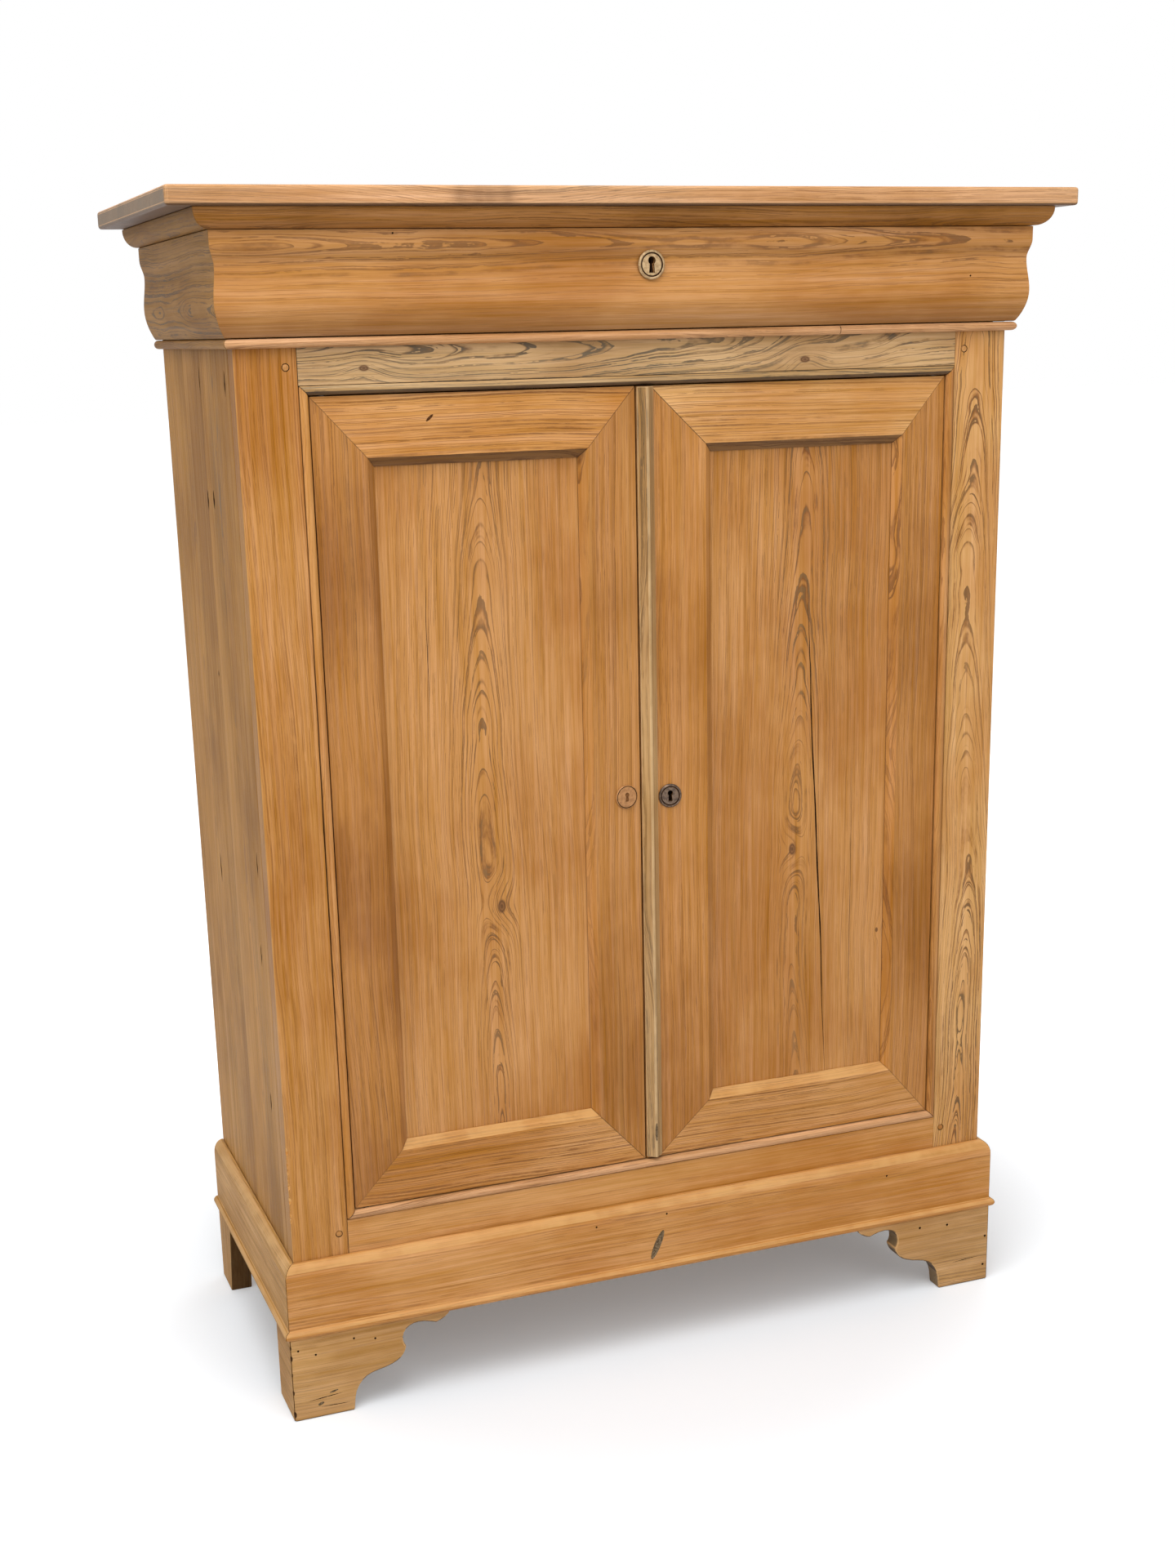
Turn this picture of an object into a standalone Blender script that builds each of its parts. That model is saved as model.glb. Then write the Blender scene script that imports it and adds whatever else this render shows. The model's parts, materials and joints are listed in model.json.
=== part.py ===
"""A free-standing two-door pine cupboard with a moulded frieze drawer, built piece by piece in metres.

The origin is on the floor, midway across the front and midway between front and back.
+X is to the right of someone who faces the doors, +Y goes to the back, and +Z goes up.
"""

import math

import bmesh
import bpy
from mathutils import Matrix, Vector

# Clearances
GAP = 0.0003            # left between neighbouring pieces
RUN = 0.0008            # left round what slides
DOOR_GAP = 0.0015       # all round a door

# Outline of the whole cabinet
HEIGHT = 1.350
CARCASS_WIDTH = 0.898
SIDE_OVERHANG = 0.064
TOP_DEPTH = 0.446
TOP_THICK = 0.0195
FRONT_OVERHANG = 0.043

# Cornice, from the top board down
BED_HEIGHT = 0.0203
BED_OUT_TOP = 0.037
BED_OUT_LOW = 0.0215
FRIEZE_HEIGHT = 0.1037
FRIEZE_BAND = 0.014     # height of the flat band at the top of the frieze
FRIEZE_BAND_OUT = 0.020
FRIEZE_HOLLOW = 0.034   # from the frieze's top down to the bottom of the hollow
FRIEZE_HOLLOW_OUT = 0.0156
FRIEZE_BELLY = 0.069    # from the frieze's top down to the fullest part of the belly
FRIEZE_BELLY_OUT = 0.0188
FRIEZE_LOW_OUT = 0.0082
ASTRAGAL_HEIGHT = 0.010
ASTRAGAL_OUT = 0.0102

# Carcass
SIDE_THICK = 0.024
FRAME_THICK = 0.025     # posts and rails, front to back
POST_WIDTH = 0.0652
RAIL_TOP_SHOW = 0.0372  # what shows of the rail between drawer and doors
RAIL_BOTTOM_SHOW = 0.0405
TENON_SHOULDER = 0.008
TENON_LENGTH = 0.030
BACK_THICK = 0.012
BACK_REBATE = 0.012
BOARD_THICK = 0.020
HOUSING = 0.008         # depth of the grooves that hold the boards
STOP_LIP = 0.006        # how far the bottom board stands up behind the doors
STOP_CLEAR = 0.0005
HEEL_NOTCH = 0.008      # clears the back edge of a turning door
HEEL_NOTCH_LENGTH = 0.060
LOWER_SPACE = 0.448     # from the bottom board up to the shelf's top
SHELF_SETBACK = 0.024
DUST_THICK = 0.012
HOUSING_STOP = 0.010    # the dust board's grooves stop this far behind its front edge

# Bead round the door opening
BEAD_WIDTH = 0.010
BEAD_PROUD = 0.003

# Plinth and feet
FOOT_HEIGHT = 0.104
PLINTH_TOP = 0.194
PLINTH_THICK = 0.013
PLINTH_LEDGE = 0.0012   # flat left on top, against the carcass
PLINTH_ROUND = 0.0165   # height of the rounded top edge
PLINTH_BEAD = 0.011
FOOT_THICK = 0.024
BRACKET_LENGTH = 0.1928
RETURN_LENGTH = 0.0715
BACK_FOOT_THICK = 0.027
BACK_FOOT_TOP = 0.073
BACK_FOOT_LOW = 0.0535

# Doors
DOOR_SETBACK = 0.003    # low edge of the door frame, behind the posts' face
DOOR_THICK = 0.024
FRAME_RISE = 0.0065     # the frame's face slopes forward this much to its inner crest
CHAMFER = 0.0085
HINGE_STILE = 0.0652
MEETING_STILE_LEFT = 0.067
MEETING_STILE_RIGHT = 0.0725
DOOR_RAIL_TOP = 0.0727
DOOR_RAIL_BOTTOM = 0.074
PANEL_SETBACK = 0.007
PANEL_THICK = 0.010
PANEL_TONGUE = 0.008
PANEL_LIP = 0.0015
MEETING_X = -0.01175    # middle of the gap between the doors
STRIP_WIDTH = 0.0196
STRIP_LAP = 0.0027      # what the strip covers of the right door's sloping face
STRIP_RIDGE = 0.0095
STRIP_EDGE = 0.002
STRIP_SHORT_TOP = 0.0006
STRIP_SHORT_LOW = 0.0025

# Hinge pins
HINGE_INSET = 0.013         # from the door's edge
HINGE_BACK = 0.005          # behind the door's low edge
PIN_RADIUS = 0.003
PIN_IN_DOOR = 0.030
PIN_IN_RAIL = 0.008     # beyond the bead
COLLAR_RADIUS = 0.0045

# Drawer
DRAWER_INNER = 0.012    # thickness of the front behind the carcass's face
DRAWER_HEADROOM = 0.004
DRAWER_SIDE = 0.014
DRAWER_BOTTOM = 0.008
DRAWER_BOTTOM_LIFT = 0.006
DRAWER_GROOVE = 0.006
DRAWER_BACK = 0.012
DRAWER_BACK_DROP = 0.005
DRAWER_REAR_SPACE = 0.016

# Keyhole plates
DRAWER_PLATE_RADIUS = 0.0152
DRAWER_PLATE_DROP = 0.0377  # from the frieze's top
DOOR_PLATE_RADIUS = 0.0138
DOOR_PLATE_DROP = 0.0064    # from the middle of the doors' height
PLATE_THICK = 0.0022
PLATE_RIM = 0.0028
RIGHT_PLATE_CLEAR = 0.0012  # from the edge of the closing strip to the plate's rim
LEFT_PLATE_IN = 0.0181      # from the left door's meeting edge
LEFT_PLATE_LIFT = 0.0040    # above the right door's plate
KEYHOLE_RADIUS = 0.0026
KEYHOLE_SLOT = 0.0030
KEYHOLE_DROP = 0.0085

# Locks and bolts
LOCK_WIDTH = 0.048
LOCK_HEIGHT = 0.060
LOCK_THICK = 0.013
LOCK_IN = 0.003             # from the door's meeting edge
LOCK_BOLT_LENGTH = 0.030
LOCK_BOLT_WIDTH = 0.018
LOCK_BOLT_THICK = 0.004
LOCK_BOLT_SINK = 0.0005     # the drawn-back bolt's end lies this far inside the case
DRAWER_BOLT_THROW = 0.010
ROD_RADIUS = 0.004
ROD_LENGTH = 0.080
ROD_THROW = 0.010
ROD_IN = 0.0175             # from the left door's meeting edge
ROD_BACK = 0.014            # behind the door's low edge
ROD_KNOB_DROP = 0.060
ROD_KNOB_RADIUS = 0.0026
ROD_KNOB_OUT = 0.008

# Rounding and steps
TOP_EDGE = 0.0035
SHARP_ANGLE = math.radians(30)
CURVE_STEPS = 7
ROUND_STEPS = 24
REACH = 0.010               # how far a cutter stands out of what it cuts

# Levels and faces that follow from the sizes
TOP_UNDER = HEIGHT - TOP_THICK
BED_LOW = TOP_UNDER - BED_HEIGHT
FRIEZE_LOW = BED_LOW - FRIEZE_HEIGHT
ASTRAGAL_LOW = FRIEZE_LOW - ASTRAGAL_HEIGHT
OPEN_TOP = ASTRAGAL_LOW - RAIL_TOP_SHOW
OPEN_LOW = PLINTH_TOP + RAIL_BOTTOM_SHOW
TOP_SIDE = CARCASS_WIDTH / 2 + SIDE_OVERHANG
TOP_FRONT = -TOP_DEPTH / 2
BACK = TOP_DEPTH / 2
FRONT = TOP_FRONT + FRONT_OVERHANG
FRAME_BACK = FRONT + FRAME_THICK
SIDE = CARCASS_WIDTH / 2
INNER = SIDE - SIDE_THICK
OPEN = SIDE - POST_WIDTH
BACK_FACE = BACK - BACK_THICK
FOOT_TOP = FOOT_HEIGHT - GAP
DOOR_EDGE = OPEN - BEAD_WIDTH - DOOR_GAP
DOOR_TOP = OPEN_TOP - BEAD_WIDTH - DOOR_GAP
DOOR_LOW = OPEN_LOW + BEAD_WIDTH + DOOR_GAP
LOW_FACE = FRONT + DOOR_SETBACK
DOOR_BACK = LOW_FACE + DOOR_THICK
PANEL_FACE = FRONT + PANEL_SETBACK
PANEL_TOP = DOOR_TOP - DOOR_RAIL_TOP
PANEL_LOW = DOOR_LOW + DOOR_RAIL_BOTTOM
LEFT_MEET = MEETING_X - DOOR_GAP / 2
RIGHT_MEET = MEETING_X + DOOR_GAP / 2
RIGHT_MITRE = RIGHT_MEET + STRIP_WIDTH - STRIP_LAP
HINGE_X = DOOR_EDGE - HINGE_INSET
HINGE_Y = LOW_FACE + HINGE_BACK
BOTTOM_TOP = DOOR_LOW + STOP_LIP
SHELF_LEVEL = BOTTOM_TOP + LOWER_SPACE
DOOR_MIDDLE = (DOOR_TOP + DOOR_LOW) / 2
DOOR_PLATE_LEVEL = DOOR_MIDDLE - DOOR_PLATE_DROP
DRAWER_PLATE_LEVEL = BED_LOW - DRAWER_PLATE_DROP
FACE_SLOPE = math.atan2(FRAME_RISE, MEETING_STILE_RIGHT - CHAMFER)

# A flat outline lies in its own X and Y. Each frame turns it so that it is extruded along one axis.
ALONG_X = Matrix(((0, 0, 1, 0), (1, 0, 0, 0), (0, 1, 0, 0), (0, 0, 0, 1)))
ALONG_Y = Matrix(((1, 0, 0, 0), (0, 0, -1, 0), (0, 1, 0, 0), (0, 0, 0, 1)))
ALONG_Z = Matrix.Identity(4)


def start_scene():
    for old in list(bpy.data.objects):
        bpy.data.objects.remove(old, do_unlink=True)
    made = []
    for name in ("buffet_cabinet", "cutters"):
        group = bpy.data.collections.new(name)
        bpy.context.scene.collection.children.link(group)
        made.append(group)
    return made


PIECES, CUTTERS = start_scene()


def material(name, colour, roughness, metallic=0.0):
    made = bpy.data.materials.new(name)
    made.use_nodes = True
    shader = made.node_tree.nodes["Principled BSDF"]
    shader.inputs["Base Color"].default_value = (*colour, 1.0)
    shader.inputs["Roughness"].default_value = roughness
    shader.inputs["Metallic"].default_value = metallic
    made.diffuse_color = (*colour, 1.0)
    return made


HONEY_PINE = material("honey_pine", (0.50, 0.27, 0.10), 0.48)
GREY_PINE = material("grey_pine", (0.42, 0.29, 0.15), 0.60)
SIDE_PINE = material("side_pine", (0.36, 0.24, 0.12), 0.58)
INNER_PINE = material("inner_pine", (0.55, 0.36, 0.18), 0.70)
DARK_BRONZE = material("dark_bronze", (0.10, 0.07, 0.05), 0.45, 0.9)
WORN_BRASS = material("worn_brass", (0.35, 0.25, 0.13), 0.42, 0.9)
IRON = material("iron", (0.09, 0.085, 0.08), 0.5, 0.9)


def empty(name, place):
    made = bpy.data.objects.new(name, None)
    made.empty_display_size = 0.05
    made.location = place
    PIECES.objects.link(made)
    return made


def place_piece(name, shape, finish, carrier=None):
    """Gives the shape, whose points are in world coordinates, an object with its origin at its middle."""
    bmesh.ops.recalc_face_normals(shape, faces=shape.faces[:])
    low = Vector(min(v.co[i] for v in shape.verts) for i in range(3))
    high = Vector(max(v.co[i] for v in shape.verts) for i in range(3))
    middle = (low + high) / 2
    bmesh.ops.translate(shape, vec=-middle, verts=shape.verts[:])
    mesh = bpy.data.meshes.new(name)
    shape.to_mesh(mesh)
    shape.free()
    made = bpy.data.objects.new(name, mesh)
    PIECES.objects.link(made)
    made.location = middle
    if carrier is not None:
        made.parent = carrier
        made.location = middle - carrier.location
    mesh.materials.append(finish)
    return made


def make_cutter(made):
    PIECES.objects.unlink(made)
    CUTTERS.objects.link(made)
    made.hide_render = True
    made.display_type = "WIRE"
    return made


def box_shape(low, high):
    size = [b - a for a, b in zip(low, high)]
    middle = [(a + b) / 2 for a, b in zip(low, high)]
    shape = bmesh.new()
    bmesh.ops.create_cube(shape, size=1.0)
    bmesh.ops.scale(shape, vec=size, verts=shape.verts[:])
    bmesh.ops.translate(shape, vec=middle, verts=shape.verts[:])
    return shape


def outline_shape(points, frame, start, end):
    """A flat outline, extruded from start to end along the axis that the frame gives."""
    curve = bpy.data.curves.new("outline", "CURVE")
    curve.dimensions = "2D"
    curve.fill_mode = "BOTH"
    curve.extrude = (end - start) / 2
    spline = curve.splines.new("POLY")
    spline.points.add(len(points) - 1)
    for point, (u, v) in zip(spline.points, points):
        point.co = (u, v, 0.0, 1.0)
    spline.use_cyclic_u = True
    guide = bpy.data.objects.new("outline", curve)
    CUTTERS.objects.link(guide)
    bpy.context.view_layer.update()
    graph = bpy.context.evaluated_depsgraph_get()
    mesh = bpy.data.meshes.new_from_object(guide.evaluated_get(graph))
    bpy.data.objects.remove(guide)
    bpy.data.curves.remove(curve)
    shape = bmesh.new()
    shape.from_mesh(mesh)
    bpy.data.meshes.remove(mesh)
    bmesh.ops.remove_doubles(shape, verts=shape.verts[:], dist=0.000005)
    bmesh.ops.transform(shape, matrix=frame, verts=shape.verts[:])
    axis = frame.to_3x3() @ Vector((0, 0, 1))
    along = Vector(abs(part) for part in axis) * (start + end) / 2
    bmesh.ops.translate(shape, vec=along, verts=shape.verts[:])
    return shape


def cylinder_shape(radius, start, end, axis, place):
    """A cylinder along one axis, 'X', 'Y' or 'Z', from start to end; place gives where the axis runs."""
    shape = bmesh.new()
    bmesh.ops.create_cone(
        shape,
        cap_ends=True,
        segments=ROUND_STEPS,
        radius1=radius,
        radius2=radius,
        depth=end - start,
    )
    turn = {"X": Matrix.Rotation(math.pi / 2, 4, "Y"), "Y": Matrix.Rotation(math.pi / 2, 4, "X")}
    bmesh.ops.transform(shape, matrix=turn.get(axis, Matrix.Identity(4)), verts=shape.verts[:])
    middle = Vector(place)
    middle["XYZ".index(axis)] = (start + end) / 2
    bmesh.ops.translate(shape, vec=middle, verts=shape.verts[:])
    return shape


def trim(shape, point, normal):
    """Cuts away what lies on the normal's side of a plane and closes the cut, half a gap short of it."""
    normal = Vector(normal).normalized()
    cut = bmesh.ops.bisect_plane(
        shape,
        geom=shape.verts[:] + shape.edges[:] + shape.faces[:],
        plane_co=Vector(point) - normal * GAP / 2,
        plane_no=normal,
        clear_outer=True,
    )
    rim = [part for part in cut["geom_cut"] if isinstance(part, bmesh.types.BMEdge)]
    bmesh.ops.edgeloop_fill(shape, edges=rim)
    return shape


def box(name, low, high, finish, carrier=None):
    return place_piece(name, box_shape(low, high), finish, carrier)


def soften(made, width, steps):
    bevel = made.modifiers.new("edges", "BEVEL")
    bevel.width = width
    bevel.segments = steps
    bevel.limit_method = "ANGLE"


def turned(name, profile, place, turn, finish, carrier):
    """A piece turned round its own Z axis, from a profile at +X that runs from its top to its bottom."""
    shape = bmesh.new()
    verts = [shape.verts.new((radius, 0.0, height)) for radius, height in profile]
    for first, second in zip(verts, verts[1:]):
        shape.edges.new((first, second))
    mesh = bpy.data.meshes.new(name)
    shape.to_mesh(mesh)
    shape.free()
    made = bpy.data.objects.new(name, mesh)
    PIECES.objects.link(made)
    mesh.materials.append(finish)
    made.parent = carrier
    made.location = Vector(place) - carrier.location
    made.rotation_euler = turn
    screw = made.modifiers.new("turned", "SCREW")
    screw.axis = "Z"
    screw.angle = 2 * math.pi
    screw.steps = ROUND_STEPS
    screw.render_steps = ROUND_STEPS
    screw.use_merge_vertices = True
    screw.merge_threshold = 0.00005
    return made


def carve(target, shape, operation="DIFFERENCE"):
    """Cuts the shape out of the target, or joins it on, with a Boolean."""
    cutter = make_cutter(place_piece(f"{target.name}_cutter", shape, IRON))
    boolean = target.modifiers.new("cut", "BOOLEAN")
    boolean.operation = operation
    boolean.solver = "EXACT"
    boolean.object = cutter


def corner_trim(shape, side, front_piece):
    """Mitres a moulding at the cabinet's front corner, for the front piece or for the one on the side."""
    normal = (side, 1, 0) if front_piece else (-side, -1, 0)
    return trim(shape, (side * SIDE, FRONT, 0), normal)


def ease(start, end, share):
    return start + (end - start) * (1 - math.cos(math.pi * share)) / 2


def arc(middle, radii, start, end, steps=CURVE_STEPS):
    """Points of an ellipse's arc, between two angles in degrees."""
    found = []
    for i in range(steps + 1):
        angle = math.radians(start + (end - start) * i / steps)
        found.append((middle[0] + radii[0] * math.cos(angle), middle[1] + radii[1] * math.sin(angle)))
    return found


# Mouldings: each section is a list of points, how far out of the carcass's face and at what height


def bed_section(back):
    top = TOP_UNDER - GAP
    low = BED_LOW
    fall = BED_OUT_TOP - BED_OUT_LOW
    rise = (top - low) * 0.92
    return [(back, low), (BED_OUT_LOW, low)] + arc((BED_OUT_LOW, low + rise), (fall, rise), -80, 0) + [
        (BED_OUT_TOP, top),
        (back, top),
    ]


def frieze_section(back, low, top):
    reach = top - (FRIEZE_LOW + GAP)
    points = [(FRIEZE_BAND_OUT, top)]
    for i in range(CURVE_STEPS + 1):
        share = i / CURVE_STEPS
        depth = FRIEZE_BAND + (FRIEZE_HOLLOW - FRIEZE_BAND) * share
        points.append((ease(FRIEZE_BAND_OUT, FRIEZE_HOLLOW_OUT, share), top - depth))
    for i in range(1, CURVE_STEPS + 1):
        share = i / CURVE_STEPS
        depth = FRIEZE_HOLLOW + (FRIEZE_BELLY - FRIEZE_HOLLOW) * share
        points.append((ease(FRIEZE_HOLLOW_OUT, FRIEZE_BELLY_OUT, share), top - depth))
    for i in range(1, CURVE_STEPS + 1):
        share = i / CURVE_STEPS
        out = FRIEZE_BELLY_OUT - (FRIEZE_BELLY_OUT - FRIEZE_LOW_OUT) * share ** 2
        depth = FRIEZE_BELLY + (reach - FRIEZE_BELLY) * share
        points.append((out, max(top - depth, low)))
    return points + [(back, low), (back, top)]


def astragal_section():
    low = ASTRAGAL_LOW
    top = FRIEZE_LOW - GAP
    radius = (top - low) / 2
    lip = ASTRAGAL_OUT - radius
    return [(GAP, low)] + arc((lip, low + radius), (radius, radius), -90, 90) + [(GAP, top)]


def plinth_section():
    low = FOOT_HEIGHT
    bead = PLINTH_BEAD / 2
    shoulder = PLINTH_TOP - PLINTH_ROUND
    return (
        [(GAP, low)]
        + arc((PLINTH_THICK, low + bead), (bead, bead), -90, 90)
        + arc((PLINTH_LEDGE, shoulder), (PLINTH_THICK - PLINTH_LEDGE, PLINTH_ROUND), 0, 90)
        + [(GAP, PLINTH_TOP)]
    )


def front_moulding(section):
    """A moulding right across the front, mitred at both corners."""
    reach = max(out for out, level in section)
    points = [(FRONT - out, level) for out, level in section]
    shape = outline_shape(points, ALONG_X, -SIDE - reach - REACH, SIDE + reach + REACH)
    for side in (-1, 1):
        corner_trim(shape, side, True)
    return shape


def side_moulding(section, side):
    """The same moulding on one side, mitred at the front and square at the back."""
    reach = max(out for out, level in section)
    points = [(side * (SIDE + out), level) for out, level in section]
    shape = outline_shape(points, ALONG_Y, FRONT - reach - REACH, BACK)
    return corner_trim(shape, side, False)


def clear_front_ends(made, low, high, back, clearance):
    """Cuts the ends of a deep front piece back, so that they pass in front of the side panels."""
    for side in (-1, 1):
        ends = sorted((side * (INNER - clearance), side * (SIDE + REACH)))
        carve(
            made,
            box_shape((ends[0], FRONT - clearance, low - REACH), (ends[1], back + REACH, high + REACH)),
        )


def side_name(side):
    return "left" if side < 0 else "right"


# Carcass


def make_sides():
    outline = [
        (FRAME_BACK + GAP, FOOT_HEIGHT),
        (BACK, FOOT_HEIGHT),
        (BACK, TOP_UNDER - GAP),
        (FRONT, TOP_UNDER - GAP),
        (FRONT, FRIEZE_LOW),
        (FRAME_BACK + GAP, FRIEZE_LOW),
    ]
    grooves = [
        (FRAME_BACK - REACH, BOTTOM_TOP - BOARD_THICK, BOARD_THICK),
        (shelf_front() - GAP, SHELF_LEVEL - BOARD_THICK, BOARD_THICK),
        (FRAME_BACK + HOUSING_STOP, FRIEZE_LOW - GAP - DUST_THICK, DUST_THICK),
    ]
    for side in (-1, 1):
        start, end = sorted((side * INNER, side * SIDE))
        shape = outline_shape(outline, ALONG_X, start, end)
        panel = place_piece(f"side_panel_{side_name(side)}", shape, SIDE_PINE)
        for groove_front, low, thick in grooves:
            ends = sorted((side * (INNER - REACH), side * (INNER + HOUSING)))
            corner = (ends[0], groove_front, low - GAP)
            opposite = (ends[1], BACK_FACE - GAP, low + thick + GAP)
            carve(panel, box_shape(corner, opposite))
        ends = sorted((side * (INNER - REACH), side * (INNER + BACK_REBATE)))
        corner = (ends[0], BACK_FACE - 2 * GAP, FOOT_HEIGHT - REACH)
        opposite = (ends[1], BACK + REACH, TOP_UNDER + REACH)
        carve(panel, box_shape(corner, opposite))


def shelf_front():
    return DOOR_BACK + SHELF_SETBACK


def make_posts():
    rails = ((OPEN_TOP, FRIEZE_LOW - GAP), (FOOT_HEIGHT, OPEN_LOW))
    for side in (-1, 1):
        start, end = sorted((side * OPEN, side * SIDE))
        post = box(
            f"post_{side_name(side)}",
            (start, FRONT, FOOT_HEIGHT),
            (end, FRAME_BACK, FRIEZE_LOW - GAP),
            HONEY_PINE,
        )
        for low, high in rails:
            ends = sorted((side * (OPEN - REACH), side * (OPEN + TENON_LENGTH + GAP)))
            carve(
                post,
                box_shape(
                    (ends[0], FRONT + TENON_SHOULDER - GAP, low + TENON_SHOULDER - GAP),
                    (ends[1], FRAME_BACK - TENON_SHOULDER + GAP, high - TENON_SHOULDER + GAP),
                ),
            )


def rail_shape(low, high):
    """A rail between the posts, with a tenon drawn out of each end."""
    shape = box_shape((-OPEN + GAP, FRONT, low), (OPEN - GAP, FRAME_BACK, high))
    ends = [face for face in shape.faces if abs(face.normal.x) > 0.5]
    bmesh.ops.inset_individual(shape, faces=ends, thickness=TENON_SHOULDER, use_even_offset=True)
    for face in ends:
        away = face.normal.copy()
        drawn = bmesh.ops.extrude_discrete_faces(shape, faces=[face])
        bmesh.ops.translate(shape, vec=away * TENON_LENGTH, verts=drawn["faces"][0].verts[:])
    return shape


def make_rails():
    top = place_piece("rail_top", rail_shape(OPEN_TOP, FRIEZE_LOW - GAP), GREY_PINE)
    bottom = place_piece("rail_bottom", rail_shape(FOOT_HEIGHT, OPEN_LOW), HONEY_PINE)
    for side in (-1, 1):
        place = (side * HINGE_X, HINGE_Y, 0)
        depth = BEAD_WIDTH + PIN_IN_RAIL + GAP
        hole = PIN_RADIUS + GAP
        upper_end = OPEN_TOP - BEAD_WIDTH + depth
        lower_end = OPEN_LOW + BEAD_WIDTH - depth
        carve(top, cylinder_shape(hole, OPEN_TOP - REACH, upper_end, "Z", place))
        carve(bottom, cylinder_shape(hole, lower_end, OPEN_LOW + REACH, "Z", place))


def bead_section():
    """Across the bead: from the edge of the opening inwards, and back from the posts' face."""
    radius = (BEAD_WIDTH - GAP) / 2
    nose = FRONT - BEAD_PROUD + radius
    middle = GAP + radius
    round_nose = arc((middle, nose), (radius, radius), 180, 360)
    return [(GAP, FRAME_BACK)] + round_nose + [(BEAD_WIDTH, FRAME_BACK)]


def make_opening_bead():
    for side in (-1, 1):
        points = [(side * (OPEN - across), depth) for across, depth in bead_section()]
        shape = outline_shape(points, ALONG_Z, OPEN_LOW, OPEN_TOP)
        trim(shape, (side * OPEN, 0, OPEN_TOP), (-side, 0, 1))
        trim(shape, (side * OPEN, 0, OPEN_LOW), (-side, 0, -1))
        place_piece(f"opening_bead_{side_name(side)}", shape, HONEY_PINE)
    for name, edge, inward in (("top", OPEN_TOP, -1), ("bottom", OPEN_LOW, 1)):
        points = [(depth, edge + inward * across) for across, depth in bead_section()]
        shape = outline_shape(points, ALONG_X, -OPEN, OPEN)
        for side in (-1, 1):
            trim(shape, (side * OPEN, 0, edge), (side, 0, inward))
        bead = place_piece(f"opening_bead_{name}", shape, GREY_PINE if name == "top" else HONEY_PINE)
        ends = sorted((edge - inward * REACH, edge + inward * (BEAD_WIDTH + REACH)))
        for side in (-1, 1):
            carve(bead, cylinder_shape(PIN_RADIUS + GAP, *ends, "Z", (side * HINGE_X, HINGE_Y, 0)))
        if name == "top":
            carve(bead, cylinder_shape(ROD_RADIUS + GAP, *ends, "Z", rod_place()))


def make_mouldings():
    bed = place_piece("bed_moulding_front", front_moulding(bed_section(-FRAME_THICK)), HONEY_PINE)
    clear_front_ends(bed, BED_LOW, TOP_UNDER, FRAME_BACK, 2 * GAP)
    half_width, half_thick, middle = drawer_bolt_box(GAP)
    keep_top = BED_LOW + DRAWER_BOLT_THROW
    carve(
        bed,
        box_shape(
            (-half_width, middle - half_thick, BED_LOW - REACH), (half_width, middle + half_thick, keep_top)
        ),
    )
    place_piece("astragal_front", front_moulding(astragal_section()), HONEY_PINE)
    place_piece("plinth_front", front_moulding(plinth_section()), HONEY_PINE)
    for side in (-1, 1):
        name = side_name(side)
        place_piece(f"bed_moulding_{name}", side_moulding(bed_section(GAP), side), HONEY_PINE)
        frieze = frieze_section(GAP, FRIEZE_LOW + GAP, BED_LOW - GAP)
        place_piece(f"frieze_return_{name}", side_moulding(frieze, side), SIDE_PINE)
        place_piece(f"astragal_{name}", side_moulding(astragal_section(), side), SIDE_PINE)
        place_piece(f"plinth_{name}", side_moulding(plinth_section(), side), SIDE_PINE)


def housed_board(name, front, top, thick, notch_in, notch_back):
    """A board whose ends sit in grooves of the side panels, notched at its two front corners."""
    wide = INNER + HOUSING - GAP
    back = BACK_FACE - 2 * GAP
    points = [
        (-wide, front + notch_back),
        (-notch_in, front + notch_back),
        (-notch_in, front),
        (notch_in, front),
        (notch_in, front + notch_back),
        (wide, front + notch_back),
        (wide, back),
        (-wide, back),
    ]
    place_piece(name, outline_shape(points, ALONG_Z, top - thick, top), INNER_PINE)


def make_boards():
    top = box("top_board", (-TOP_SIDE, TOP_FRONT, TOP_UNDER), (TOP_SIDE, BACK, HEIGHT), HONEY_PINE)
    soften(top, TOP_EDGE, 3)
    stop = DOOR_BACK + STOP_CLEAR
    housed_board("bottom_board", stop, BOTTOM_TOP, BOARD_THICK, DOOR_EDGE - HEEL_NOTCH_LENGTH, HEEL_NOTCH)
    housing_start = HOUSING_STOP + GAP
    housed_board("dust_board", FRAME_BACK + GAP, FRIEZE_LOW - GAP, DUST_THICK, INNER - GAP, housing_start)
    wide = INNER + HOUSING - GAP
    box(
        "shelf",
        (-wide, shelf_front(), SHELF_LEVEL - BOARD_THICK),
        (wide, BACK_FACE - 2 * GAP, SHELF_LEVEL),
        INNER_PINE,
    )
    wide = INNER + BACK_REBATE - GAP
    box("back_panel", (-wide, BACK_FACE, FOOT_HEIGHT), (wide, BACK, TOP_UNDER - GAP), INNER_PINE)


# Feet


def bezier(start, first, second, end, steps=5):
    found = []
    for i in range(1, steps + 1):
        t = i / steps
        weights = ((1 - t) ** 3, 3 * t * (1 - t) ** 2, 3 * t * t * (1 - t), t ** 3)
        points = (start, first, second, end)
        found.append(tuple(sum(w * p[axis] for w, p in zip(weights, points)) for axis in (0, 1)))
    return found


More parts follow.
